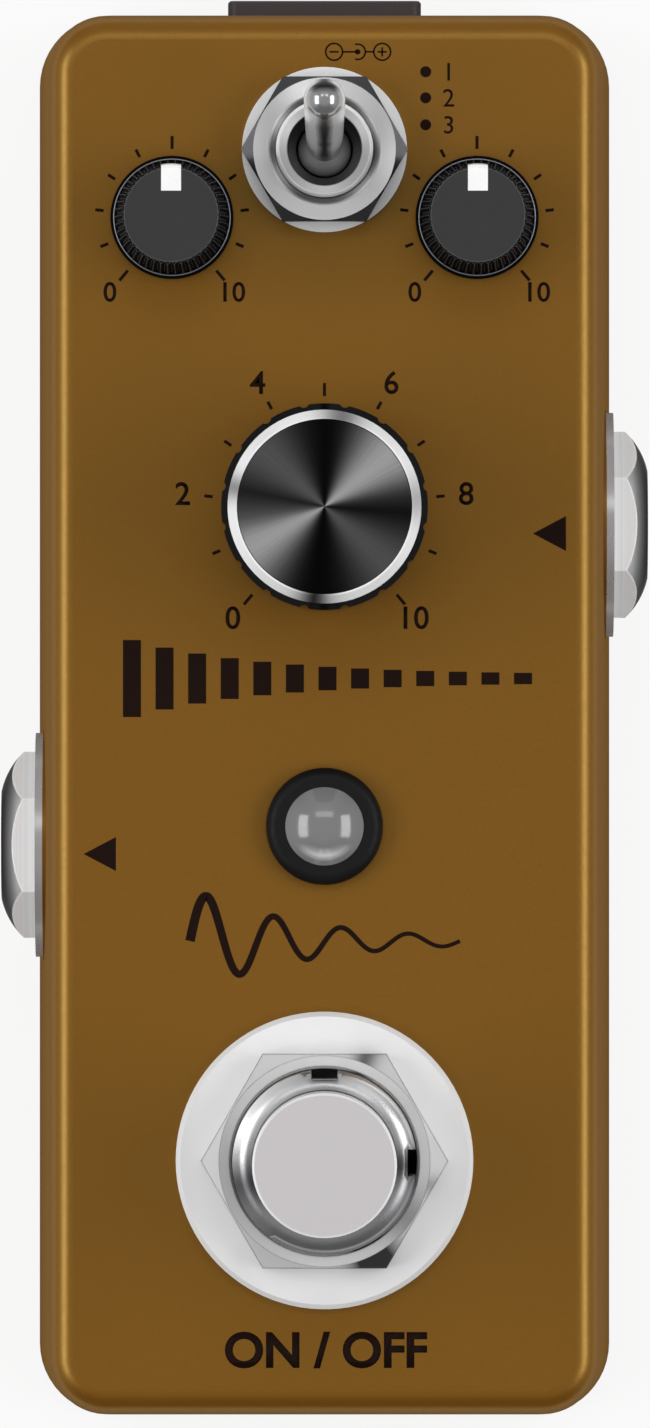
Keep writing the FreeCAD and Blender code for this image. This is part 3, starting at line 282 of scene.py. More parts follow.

# Lobes of painted light or shade about a Z axis, laid into base colours as highlights, reflections
# and shade: angle in degrees, strength and narrowness
NUT_CORNER_SHADES = ((68.5, 0.85, 150), (297, 1.6, 45), (347, 0.5, 200))
NUT_TOP_SHADES = ((326, 0.5, 25), (185, 0.25, 4))
BUSHING_GLINTS = ((138, 1.0, 5), (55, 1.0, 10), (22, 0.5, 8))
BUSHING_SHADES = ((195, 0.9, 18), (358, 0.9, 30))
TOGGLE_NUT_GLINTS = ((112, 1.0, 20), (345, 1.0, 20))
TOGGLE_MOUTH_GLINTS = ((28, 0.7, 14), (150, 0.95, 20), (212, 1.0, 20), (318, 0.95, 14))
TOGGLE_BUSHING_GLINTS = ((30, 0.8, 10), (150, 1.0, 8), (270, 0.45, 6))
RIM_SHADES = ((5, 0.5, 30), (79, 0.8, 30), (168, 0.7, 80), (264, 1.0, 40))
DISC_SHEEN_FANS = ((38, 0.7, 12), (206, 0.72, 12), (138, 0.3, 12), (318, 0.28, 12))


def case_paint():
    """Satin bronze paint with a fine metal flake and a faint orange peel."""
    s = Shader("case_paint", metallic=0.3, roughness=0.33, Specular_IOR_Level=0.65, IOR=1.8,
               Specular_Tint=(1.0, 0.85, 0.3, 1))
    flake = s.rise(s.noise(size=0.14 * MM, detail=1.0), 0.35, 0.65)
    mottle = s.span(s.noise(size=0.9 * MM, rough=0.6), 0.35, 0.65, 0.0, 0.3)
    tone = s.blend(flake, scaled(BRONZE, 0.96), scaled(BRONZE, 1.05))
    s.to("Base Color", s.blend(mottle, tone, scaled(BRONZE, 0.93)))
    grain = s.spread(s.noise(size=0.25 * MM, detail=2.0), 0.31, 0.37)
    edge_on = s.node("ShaderNodeLayerWeight", {"Blend": 0.5}).outputs["Facing"]
    s.to("Roughness", s.math("ADD", grain, s.span(edge_on, 0.6, 0.95, 0.0, 0.6)))
    s.grain(size=0.5 * MM, depth=0.003 * MM)
    return s.material


def plated(name, color, roughness, metallic=1.0, grain=0.05 * MM, depth=0.0005 * MM):
    """Plated metal with hairline wear and a slightly uneven shine."""
    s = Shader(name, color, metallic, roughness)
    wear = s.wear()
    s.to("Base Color", s.blend(wear, scaled(color, 0.95), scaled(color, 1.03)))
    s.uneven_roughness(wear, roughness)
    s.grain(grain, depth)
    return s.material


def chamfered_nut(name, color, axis, corner, edge, roughness):
    """A polished nut with painted dark reflections on its chamfered corners and top; its corners
    have a tone of their own and its edges another, both painted shade.
    """
    dark = linear(55, 55, 57)
    s = Shader(name, color, 0.5, roughness)
    wear = s.wear()
    tone = s.blend(wear, scaled(color, 0.97), scaled(color, 1.02))
    level = s.level_share()
    turn = s.turn(axis)
    # Painted reflections: dark lobes on the corners, fainter ones on the top
    corners = s.blend(s.fans(turn, NUT_CORNER_SHADES), corner, dark)
    top = s.blend(s.fans(turn, NUT_TOP_SHADES), tone, dark)
    # Painted shade: a line of the edge colour along every edge
    wear_and_edge_shading = s.edges(radius=0.2 * MM)
    s.to("Base Color", s.blend(wear_and_edge_shading, s.blend(level, corners, top), edge))
    s.to("Metallic", s.between(level, 0.15, 0.5))
    s.uneven_roughness(wear, roughness)
    return s.material


def turned_metal(name, color, centre, roughness, axis="Z", metallic=1.0, depth=0.0008 * MM,
                 shades=()):
    """Plated metal with fine turning marks round an axis, and dark lobes of painted reflection
    where shades says.
    """
    s = Shader(name, color, metallic, roughness)
    rings = s.marks(size=0.06 * MM, distance=s.radius_about(centre, axis))
    wear = s.wear(size=3 * MM)
    tone = s.blend(rings, scaled(color, 0.97), scaled(color, 1.02))
    if shades:
        # Painted reflections: the tone turns dark in the lobes that shades lists
        tone = s.blend(s.fans(s.turn(centre), shades), tone, linear(30, 30, 32))
    s.to("Base Color", tone)
    s.uneven_roughness(wear, roughness)
    s.bump(rings, depth)
    return s.material


def moulded(name, color, roughness, grain=0.15 * MM, depth=0.003 * MM, **sockets):
    """Moulded plastic with a fine grain."""
    s = Shader(name, color, 0.0, roughness, **sockets)
    cloud = s.noise(size=1.5 * MM)
    s.to("Base Color", s.blend(cloud, scaled(color, 0.92), scaled(color, 1.08)))
    blotches = s.noise(grain * 2, detail=2.0)
    s.to("Roughness", s.spread(blotches, roughness * 0.9, roughness * 1.1))
    s.grain(grain, depth)
    return s.material


def domed_nut(name, node):
    """A nut on the X axis: brushed flats, a polished dome whose colour darkens outward as a painted
    reflection, and painted highlights on its bright edges.
    """
    dark_share = 0.45  # of the nut's length, over which the dome darkens outward
    flat, edge = linear(252, 252, 252), linear(255, 255, 255)
    low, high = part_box(node)
    reach = max(abs(low.x), abs(high.x))
    start = min(abs(low.x), abs(high.x))
    dark_from = reach - dark_share * (reach - start)
    s = Shader(name, flat, roughness=0.35, Specular_Tint=(0.4, 0.4, 0.4, 1))
    on_dome = s.rise(s.math("ABSOLUTE", s.facing("X")), 0.03, 0.06)
    out = s.rise(s.math("ABSOLUTE", s.part("X")), dark_from, reach)
    # Painted reflection: the dome's colour darkens outward, as a mirror of dark surroundings would
    dome = s.blend(out, linear(215, 215, 216), linear(95, 95, 97))
    brush_marks = s.rise(s.marks(size=0.16 * MM, distance=s.part("X")), 0.35, 0.65)
    brushed = s.blend(brush_marks, scaled(flat, 0.86), flat)
    # Painted highlights: white lines along the edges, where the metal is less metallic
    wear_and_edge_shading = s.edges(radius=0.2 * MM, smooth=0.998, sharp=0.985)
    s.to("Base Color", s.blend(wear_and_edge_shading, s.blend(on_dome, brushed, dome), edge))
    s.to("Metallic", s.math("MULTIPLY", on_dome, s.between(wear_and_edge_shading, 1.0, 0.3)))
    s.to("Roughness", s.between(on_dome, 0.4, 0.14))
    rounded = s.node("ShaderNodeBevel", {"Radius": 0.12 * MM}, samples=BEVEL_SAMPLES)
    s.to("Normal", rounded.outputs["Normal"])
    return s.material


def knurled_knob(name, node):
    """Dark plastic with a grey top and a dull black side, with painted highlights along its ridges
    and rims.
    """
    skirt_top, knurl_foot = 1.25 * MM, 1.4 * MM
    top_start, top_full = 0.06 * MM, 0.02 * MM  # below the knob's top
    top_grey, side_black, ridge = linear(56, 56, 56), linear(5, 5, 6), linear(100, 101, 104)
    low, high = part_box(node)
    s = Shader(name, top_grey, roughness=0.55, Specular_IOR_Level=0.08)
    on_top = s.rise(s.part("Z"), high.z - top_start, high.z - top_full)
    above_skirt = s.rise(s.part("Z"), low.z + skirt_top, low.z + knurl_foot)
    tone = s.blend(s.noise(size=1.2 * MM), scaled(top_grey, 0.94), scaled(top_grey, 1.06))
    plain = s.blend(on_top, side_black, tone)
    # Painted highlights: a paler colour where the ridges and rims catch the light
    ridges = s.math("MULTIPLY", s.edges(radius=0.07 * MM), above_skirt)
    s.to("Base Color", s.blend(ridges, plain, ridge))
    s.to("Roughness", s.between(on_top, 0.95, 0.5))
    s.grain(size=0.12 * MM, depth=0.002 * MM)
    return s.material


def satin_button(name, node):
    """Satin metal with a brightly polished bevel round its top."""
    outer, bevel, blur = 4.68 * MM, 0.15 * MM, 0.01 * MM
    face, edge = linear(206, 202, 203), linear(252, 252, 252)
    s = Shader(name, face, metallic=0.45, roughness=0.45)
    radius = s.radius_about(node_centre(node))
    on_edge = s.rise(radius, outer - bevel - blur, outer - bevel + blur)
    s.to("Base Color", s.blend(on_edge, face, edge))
    s.to("Roughness", s.between(on_edge, 0.45, 0.2))
    s.grain(size=0.1 * MM, depth=0.0006 * MM)
    return s.material


def brushed_nut(name, color, axis, inner, corner, roughness):
    """A plated nut, turned on top so that light fans out, with painted glints on its top and in its
    mouth, and darker corners and mouth that are painted shade.
    """
    blur = 0.1 * MM
    s = Shader(name, color, 0.8, roughness, Anisotropic=0.8, Anisotropic_Rotation=0.25)
    s.radial_tangent()
    wear_and_edge_shading = s.blend(s.wear(), scaled(color, 0.95), scaled(color, 1.03))
    turn = s.turn(axis)
    # Painted glints: lobes of full colour on the darker top and in the dark mouth, whose darkness
    # is painted shade
    top = s.blend(s.fans(turn, TOGGLE_NUT_GLINTS), scaled(color, 0.75), wear_and_edge_shading)
    mouth = s.blend(s.fans(turn, TOGGLE_MOUTH_GLINTS), scaled(color, 0.22), wear_and_edge_shading)
    within = s.fall(s.radius_about(axis), inner, inner + blur)
    s.to("Base Color", s.blend(within, s.blend(s.level_share(), corner, top), mouth))
    s.to("Metallic", s.between(within, 0.8, 0.4))
    return s.material


def polished_lever(name, pivot, ball):
    """Polished plating with painted reflections: dark along its front and its cap's rear, bright
    along its sides, and a pale ball at its foot as a painted highlight.
    """
    front, cap, side = linear(100, 100, 102), linear(165, 165, 166), linear(252, 252, 253)
    rear = linear(45, 45, 46)
    blur = 0.04 * MM
    s = Shader(name, side, metallic=0.75, roughness=0.15)
    # Noise that moves the edges of the painted reflections a little
    wear = s.spread(s.noise(WEAR_SIZE, detail=4.0), -0.05, 0.05)
    across = s.math("ADD", s.math("ABSOLUTE", s.facing("X")), wear)
    away = s.vector_math("LENGTH", s.offset(pivot))
    on_ball = s.fall(away, ball, ball + blur)
    # Painted reflections: bright sides, a dark front, a cap darker at its rear, and a pale ball
    beside = s.rise(across, 0.08, 0.45)
    on_cap = s.rise(s.facing("Z"), 0.35, 0.6)
    tip = s.blend(s.rise(s.facing("Y"), 0.3, 0.6), cap, rear)
    upper = s.blend(on_cap, s.blend(beside, front, side), tip)
    s.to("Base Color", s.blend(on_ball, upper, side))
    below_cap = s.math("MULTIPLY", beside, s.between(on_cap, 1.0, 0.0))
    s.to("Metallic", s.between(s.math("MAXIMUM", below_cap, on_ball), 0.75, 0.2))
    return s.material


def hollow_bushing(name, axis, mouth):
    """Plated outside, with painted glints on its rim and a brighter bevel, and dull inside its
    mouth, where painted shade makes it dark.
    """
    lip_inner, lip_outer = mouth + 0.01 * MM, mouth + 0.03 * MM
    bevel_inner, bevel_outer = 2.9 * MM, 3.0 * MM
    plating, inside = linear(242, 242, 243), linear(100, 100, 102)
    s = Shader(name, plating, metallic=0.5, roughness=0.22)
    radius = s.radius_about(axis)
    outside = s.rise(radius, lip_inner, lip_outer)
    bevel = s.rise(radius, bevel_inner, bevel_outer)
    wear_and_edge_shading = s.blend(s.noise(WEAR_SIZE, detail=4.0), scaled(plating, 0.95), scaled(plating, 1.03))
    # Painted glints round the rim, which is darker between them, and a brighter bevel
    glints = s.fans(s.turn(axis), TOGGLE_BUSHING_GLINTS)
    rim = s.blend(s.math("MAXIMUM", glints, bevel), scaled(plating, 0.5), wear_and_edge_shading)
    # Painted shade: a dark colour inside the mouth
    s.to("Base Color", s.blend(outside, inside, rim))
    s.to("Roughness", s.between(outside, 0.6, 0.22))
    shine = s.math("MULTIPLY", outside, s.between(bevel, 1.0, 0.0))
    s.to("Metallic", s.between(shine, 0.2, 0.5))
    return s.material


def lit_bushing(name, axis):
    """Plating with painted highlights on the rear half of its rim and painted shade in front, where
    it is greyer.
    """
    mouth_inner, mouth_outer = 5.2 * MM, 5.4 * MM
    dim, bright, dark = linear(156, 156, 158), linear(252, 252, 252), linear(55, 55, 57)
    s = Shader(name, dim, metallic=0.85, roughness=0.28)
    turn = s.turn(axis)
    past_mouth = s.span(s.radius_about(axis), mouth_inner, mouth_outer, 0.35, 1.0)
    # Painted highlights: bright lobes round the rim past the mouth
    lit = s.blend(s.math("MULTIPLY", s.fans(turn, BUSHING_GLINTS), past_mouth), dim, bright)
    wear = s.wear()
    # Painted shade: dark lobes, a little uneven with the wear noise
    shade = s.math("ADD", s.fans(turn, BUSHING_SHADES), s.math("MULTIPLY", wear, 0.05))
    s.to("Base Color", s.blend(shade, lit, dark))
    s.to("Roughness", s.spread(wear, 0.24, 0.34))
    s.grain(size=0.05 * MM, depth=0.0001 * MM)
    return s.material


def spun_disc(name, centre):
    """Black anodised metal, turned on a lathe, so that light fans out from its middle, with fans of
    painted sheen in its colour as well.
    """
    streaks_per_radian = 30.0
    least_light = 0.012
    dark, pale = linear(1, 1, 1), linear(165, 165, 166)
    s = Shader(name, pale, metallic=1.0, roughness=0.32, Anisotropic=1.0,
               Anisotropic_Rotation=0.125)
    s.radial_tangent()
    turn = s.turn(centre)
    # Painted sheen: the colour is pale only in lobes round the middle, and nearly black between
    # them
    light = s.math("ADD", s.fans(turn, DISC_SHEEN_FANS), least_light)
    streaks = s.node("ShaderNodeTexNoise", {"W": turn, "Scale": streaks_per_radian, "Detail": 3.0},
                     noise_dimensions="1D").outputs["Fac"]
    share = s.math("MULTIPLY", light, s.span(streaks, 0.2, 0.8, 0.93, 1.07))
    rings = s.marks(size=0.04 * MM, distance=s.radius_about(centre))
    share = s.math("MULTIPLY", share, s.spread(rings, 0.94, 1.06))
    s.to("Base Color", s.blend(share, dark, pale))
    return s.material


def rubber():
    """Pebbled black rubber."""
    s = Shader("pad_rubber", linear(24, 24, 25), roughness=0.85)
    grain = s.noise(size=0.25 * MM)
    s.to("Base Color", s.blend(grain, linear(18, 18, 19), linear(34, 34, 35)))
    s.bump(s.cells(size=0.6 * MM), distance=0.02 * MM)
    return s.material


def circuit_board():
    """Green lacquer over a glass weave, with raised paler tracks."""
    s = Shader("circuit_board", linear(18, 76, 44), roughness=0.35, Coat_Weight=0.4)
    weave = s.noise(size=0.5 * MM, detail=2.0)
    tracks = s.rise(s.cells(size=1.8 * MM), 0.42, 0.5)
    tone = s.blend(weave, linear(14, 66, 38), linear(22, 84, 48))
    s.to("Base Color", s.blend(tracks, tone, linear(36, 110, 62)))
    s.bump(tracks, distance=0.02 * MM)
    return s.material


def ribbon():
    """Grey flat cable with a ridge for each wire, paler on the ridges and darker between them, a
    painted shade.
    """
    wire_pitch = 1.0 * MM
    s = Shader("cable_grey", linear(150, 152, 156), roughness=0.5)
    wave = s.math("SINE", s.math("MULTIPLY", s.part("X"), 2 * math.pi / wire_pitch))
    # Painted shade: darker in the grooves between the wires, paler on the ridges
    tone = s.blend(s.rise(wave, -1.0, 1.0), linear(120, 122, 126), linear(164, 166, 170))
    s.to("Base Color", tone)
    s.bump(wave, distance=0.1 * MM)
    return s.material


def milky_lens(axis):
    """Milky epoxy, a little paler in a ring on its front side, a painted glow of the light that its
    body gathers there.
    """
    ring_inner, ring_middle, ring_outer = 1.3 * MM, 1.9 * MM, 2.3 * MM
    front_full, front_end = 1.9 * MM, 1.1 * MM  # in front of the axis
    body, glow = linear(128, 128, 129), linear(215, 215, 215)
    s = Shader("lens_milky", body, roughness=0.1, IOR=1.5, Transmission_Weight=0.15,
               Specular_IOR_Level=0.8)
    radius = s.radius_about(axis)
    # A painted glow: a paler ring on the front side
    ring = s.math("MULTIPLY", s.rise(radius, ring_inner, ring_middle),
                  s.fall(radius, ring_middle, ring_outer))
    front = s.fall(s.part("Y"), axis.y - front_full, axis.y - front_end)
    s.to("Base Color", s.blend(s.math("MULTIPLY", ring, front), body, glow))
    haze = s.noise(size=1.2 * MM, detail=2.0)
    s.to("Roughness", s.spread(haze, 0.09, 0.13))
    return s.material


def ink():
    """Dark print, a little uneven, with no shine of its own."""
    s = Shader("print_ink", INK, roughness=0.6, Specular_IOR_Level=0.05)
    blotches = s.noise(size=0.3 * MM, detail=2.0)
    s.to("Base Color", s.blend(blotches, scaled(INK, 0.85), scaled(INK, 1.2)))
    s.grain(size=0.08 * MM, depth=0.002 * MM, detail=1.0)
    return s.material


# The material of every CAD node


def case_finishes():
    """The case, its base plate, its screws and its pad."""
    paint = case_paint()
    return {
        "enclosure": paint,
        "base_plate": paint,
        "base_plate_screws": plated("screw_black", linear(52, 52, 54), roughness=0.4),
        "rubber_pad": rubber(),
    }


def inner_finishes(steel, silver):
    """The lamp, the power socket, and what the case holds inside."""
    board = circuit_board()
    bezel = moulded("bezel_black", linear(15, 15, 16), roughness=0.5, Specular_IOR_Level=0.15)
    inner_nut = plated("inner_nut", NICKEL, roughness=0.3)
    return {
        "footswitch_inner_nut": inner_nut,
        "footswitch_lock_washer": steel,
        "footswitch_spring": steel,
        "footswitch_frame": steel,
        "footswitch_case": moulded("switch_blue", linear(28, 70, 130), roughness=0.45),
        "footswitch_lugs": silver,
        "footswitch_board": board,
        "toggle_inner_nut": inner_nut,
        "toggle_case": moulded("toggle_red", linear(130, 30, 22), roughness=0.45),
        "toggle_terminals": silver,
        "led_bezel": bezel,
        "led_bezel_ring": bezel,
        "led_lens": milky_lens(node_centre("led_lens")),
        "led_leads": silver,
        "power_jack_housing": moulded("power_dark", linear(56, 49, 50), roughness=0.5),
        "power_jack_pin": silver,
        "power_jack_contact": silver,
        "main_board": board,
        "delay_chips": moulded("chip_black", linear(34, 34, 36), roughness=0.6),
        "capacitors": plated("capacitor_can", linear(190, 190, 192), roughness=0.35),
        "board_header": moulded("header_cream", linear(225, 220, 205), roughness=0.5),
        "ribbon_cable": ribbon(),
    }


def knob_finishes(steel):
    """The three knobs, and the potentiometers that they turn."""
    cream_shaft = moulded("cream_shaft", linear(215, 210, 198), roughness=0.4)
    white = moulded("pointer_white", linear(250, 250, 249), roughness=0.3)
    found = {
        "time_knob": moulded("knob_black", linear(3, 3, 4), roughness=0.13, depth=0.0005 * MM,
                             Specular_IOR_Level=0.06),
        "time_knob_insert": spun_disc("spun_disc", node_centre("time_knob_insert")),
        "time_knob_rim": turned_metal(
            "rim_chrome", linear(255, 255, 255), node_centre("time_knob_rim"), roughness=0.12,
            metallic=0.25, shades=RIM_SHADES),
        "time_pot_case": steel,
        "time_pot_shaft": cream_shaft,
    }
    for name in SMALL_KNOBS:
        found[name + "_knob"] = knurled_knob(name + "_knob_dark", name + "_knob")
        found[name + "_knob_pointer"] = white
        found[name + "_pot_case"] = steel
        found[name + "_pot_shaft"] = cream_shaft
    return found


def jack_finishes(silver):
    """The two audio jacks, whose axes lie along X."""
    black = moulded("jack_black", linear(22, 22, 23), roughness=0.4)
    found = {}
    for name in ("input_jack", "output_jack"):
        middle = node_centre(name + "_nut")
        found[name + "_housing"] = black
        found[name + "_contacts"] = silver
        found[name + "_nut"] = domed_nut(name + "_nut_nickel", name + "_nut")
        found[name + "_washer"] = turned_metal(
            name + "_washer_nickel", linear(190, 190, 194), middle, roughness=0.25, axis="X",
            metallic=0.4)
        found[name + "_bushing"] = turned_metal(
            name + "_bushing_nickel", NICKEL, middle, roughness=0.2, axis="X")
    return found


def footswitch_finishes():
    """The footswitch's pieces above the case."""
    axis = node_centre("footswitch_washer")
    return {
        "footswitch_washer": turned_metal(
            "footswitch_washer_nickel", linear(244, 244, 244), axis, roughness=0.35,
            metallic=0.3, depth=0.0002 * MM),
        # The nut's corner and edge colours are painted shade
        "footswitch_nut": chamfered_nut(
            "footswitch_nut_nickel", linear(238, 238, 238), axis, corner=linear(212, 212, 212),
            edge=linear(85, 85, 86), roughness=0.2),
        "footswitch_bushing": lit_bushing("footswitch_bushing_nickel", axis),
        "footswitch_plunger": satin_button("plunger_satin", "footswitch_plunger"),
    }


def toggle_finishes():
    """The toggle's pieces above the case."""
    nut_mouth, bushing_mouth = 3.6 * MM, 2.45 * MM
    ball_radius, ball_height = 1.76 * MM, 5.03 * MM
    axis = node_centre("toggle_washer")
    pivot = Vector((axis.x, axis.y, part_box("toggle_lever")[0].z + ball_height))
    return {
        "toggle_washer": turned_metal(
            "toggle_washer_nickel", linear(250, 250, 250), axis, roughness=0.3, metallic=0.35,
            depth=0.0003 * MM),
        # The nut's corner colour is painted shade
        "toggle_nut": brushed_nut(
            "toggle_nut_nickel", linear(250, 250, 250), axis, nut_mouth,
            corner=linear(82, 82, 84), roughness=0.25),
        "toggle_bushing": hollow_bushing("toggle_bushing_nickel", axis, bushing_mouth),
        "toggle_lever": polished_lever("lever_chrome", pivot, ball_radius),
    }


def dress_nodes():
    steel = plated("steel", linear(160, 161, 164), roughness=0.32)
    silver = plated("silver", linear(205, 203, 196), roughness=0.25)
    finishes = {
        **case_finishes(),
        **inner_finishes(steel, silver),
        **knob_finishes(steel),
        **jack_finishes(silver),
        **footswitch_finishes(),
        **toggle_finishes(),
    }
    for name, finish in finishes.items():
        slots = nodes[name].data.materials
        slots.clear()
        slots.append(finish)


# Meshes


def add_piece(name, bm, material, smooth_angle=None):
    """A visible piece from a closed mesh, smooth where its faces meet at less than an angle."""
    mesh = bpy.data.meshes.new(name)
    bmesh.ops.recalc_face_normals(bm, faces=bm.faces)
    bm.to_mesh(mesh)
    bm.free()
    mesh.materials.append(material)
    if smooth_angle is not None:
        mesh.shade_smooth()
        mesh.set_sharp_from_angle(angle=math.radians(smooth_angle))
    piece = bpy.data.objects.new(name, mesh)
    scene.collection.objects.link(piece)
    return piece


def add_turned(name, axis, profile, material, steps=32, smooth_angle=35):
    """A closed solid of revolution about a Z axis, from (radius, z) corners."""
    bm = bmesh.new()
    loops = []
    for k in range(steps):
        a = 2 * math.pi * k / steps
        loops.append([
            bm.verts.new((axis.x + r * math.cos(a), axis.y + r * math.sin(a), z))
            for r, z in profile
        ])
    for k in range(steps):
        after = loops[(k + 1) % steps]
        for j in range(len(profile)):
            n = (j + 1) % len(profile)
            bm.faces.new((loops[k][j], after[j], after[n], loops[k][n]))
    bmesh.ops.remove_doubles(bm, verts=bm.verts, dist=WELD)
    return add_piece(name, bm, material, smooth_angle)


def add_bead(name, axis, radius, z, thickness, material):
    """A thin round ring of wire about a Z axis."""
    sides = 8
    turns = [2 * math.pi * k / sides for k in range(sides)]
    profile = [
        (radius + thickness / 2 * math.cos(a), z + thickness / 2 * math.sin(a)) for a in turns
    ]
    return add_turned(name, axis, profile, material, steps=96, smooth_angle=60)


THREAD_ROWS = 12  # heights per turn at which the thread's form is drawn
CREST_SHARE = 0.18  # of a turn, the flat at the thread's crest
RUN_OUT_SHARE = 0.7  # of a turn, over which the thread fades out at its top
THREAD_DEPTH_SHARE = 0.55  # of the pitch
THREAD_START = 0.4 * MM  # below the top of the nut


def thread_depth_share(phase):
    """How deep the thread is at a place along its pitch, from 0 at its crest to 1 at its root."""
    slope = 1 - 2 * CREST_SHARE
    from_crest = abs((phase + 0.5) % 1 - 0.5) * 2
    return min(1.0, max(0.0, (from_crest - CREST_SHARE) / slope))


def slice_wall(bm, z_low, z_high, pitch):
    """Cuts a mesh at even heights, and returns the vertices between the first and the last."""
    nearly = 1e-7
    bmesh.ops.remove_doubles(bm, verts=bm.verts, dist=nearly)
    rows = round((z_high - z_low) / pitch * THREAD_ROWS)
    for k in range(rows + 1):
        bmesh.ops.bisect_plane(
            bm, geom=bm.verts[:] + bm.edges[:] + bm.faces[:], dist=WELD,
            plane_co=(0, 0, z_low + (z_high - z_low) * k / rows), plane_no=(0, 0, 1))
    return [v for v in bm.verts if z_low - nearly < v.co.z < z_high + nearly]


def cut_thread(node, z_low, z_high, pitch):
    """A bushing with a screw thread cut into its barrel between two heights."""
    wall_slack = 0.02 * MM
    source = nodes[node]
    axis = node_centre(node.replace("bushing", "nut"))
    bm = bmesh.new()
    bm.from_mesh(source.data)
    on_wall = slice_wall(bm, z_low, z_high, pitch)
    radius = max(math.hypot(v.co.x - axis.x, v.co.y - axis.y) for v in on_wall)
    for v in on_wall:
        x, y = v.co.x - axis.x, v.co.y - axis.y
        r = math.hypot(x, y)
        if r < radius - wall_slack:
            continue
        phase = v.co.z / pitch - math.atan2(y, x) / (2 * math.pi)
        run_out = min(1.0, (z_high - v.co.z) / (RUN_OUT_SHARE * pitch))
        depth = THREAD_DEPTH_SHARE * pitch * run_out * thread_depth_share(phase)
        factor = (r - depth) / r
        v.co.x = axis.x + x * factor
        v.co.y = axis.y + y * factor
    return add_piece(node + "_threaded", bm, source.data.materials[0], smooth_angle=35)


def thread_bushings():
    for name, pitch, bevel in (
        ("footswitch", 0.75 * MM, 0.5 * MM),
        ("toggle", 0.6 * MM, 0.2 * MM),
    ):
        node = name + "_bushing"
        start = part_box(name + "_nut")[1].z - THREAD_START
        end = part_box(node)[1].z - bevel
        piece = cut_thread(node, start, end, pitch)
        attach(piece, CASE)
        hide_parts(node)


def coil_spring():
    """A copy of the button's return spring, with a mesh of its own, that rides on the case."""
    node = "footswitch_spring"
    coil = bpy.data.objects.new("footswitch_coil", nodes[node].data.copy())
    scene.collection.objects.link(coil)
    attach(coil, CASE)
    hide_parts(node)
    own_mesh(coil)


def line_small_knobs():
    """The fine pale line round the foot of each small knob's knurling, a pale bead that stands in
    for a highlight there.
    """
    radius, height, thickness = 3.79 * MM, 1.12 * MM, 0.09 * MM
    pale = plated("line_grey", linear(150, 154, 162), roughness=0.35, metallic=0.5)
    for name in SMALL_KNOBS:
        low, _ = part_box(name + "_knob")
        line = add_bead(name + "_knob_line", node_centre(name + "_knob"), radius,
                        low.z + height, thickness, pale)
        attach(line, name + "_control")


def lens_profile(low, high):
    """The lamp's clear body: a flange, a straight wall and a shallow dome."""
    body, dome_rise, flange_height = 2.56 * MM, 1.0 * MM, 1.0 * MM
    steps = 14
    flange = (high.x - low.x) / 2
    ledge = low.z + flange_height
    curve = (body ** 2 + dome_rise ** 2) / (2 * dome_rise)
    tilts = [math.asin(body / curve) * (1 - k / steps) for k in range(steps + 1)]
    dome = [(curve * math.sin(a), high.z - curve * (1 - math.cos(a))) for a in tilts]
    return [(0.0, low.z), (flange, low.z), (flange, ledge), (body, ledge)] + dome


def cup_profile(lip):
    """The lamp's reflector: a hollow post that widens to a small dish."""
    hole, foot, dish_floor, dish_mouth, rim = 0.2 * MM, 0.55 * MM, 0.4 * MM, 0.8 * MM, 0.95 * MM
    bottom = lip - 1.3 * MM
    dish = lip - 0.5 * MM
    return [(hole, bottom), (foot, bottom), (rim, lip), (dish_mouth, lip), (dish_floor, dish),
            (hole, dish)]


def furnish_lamp():
    """The lamp's clear body, domed from the bezel's edge, and the reflector cup inside it."""
    cup_drop = 3.2 * MM
    low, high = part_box("led_lens")
    axis = node_centre("led_lens")
    lens = add_turned("lamp_lens", axis, lens_profile(low, high),
                      nodes["led_lens"].data.materials[0], steps=64)
    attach(lens, CASE)
    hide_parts("led_lens")
    silver = plated("lamp_silver", linear(225, 224, 220), roughness=0.2)
    cup = add_turned("lamp_cup", axis, cup_profile(high.z - cup_drop), silver)
    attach(cup, CASE)


# Print on the case's top: each mark is a thin film of ink

INK_THICKNESS = 0.02 * MM
CIRCLE_STEPS = 40
LETTER_STEPS = 6
NUMBER_BOLDNESS = 0.01  # of the letters' own size
LABEL_BOLDNESS = 0.03


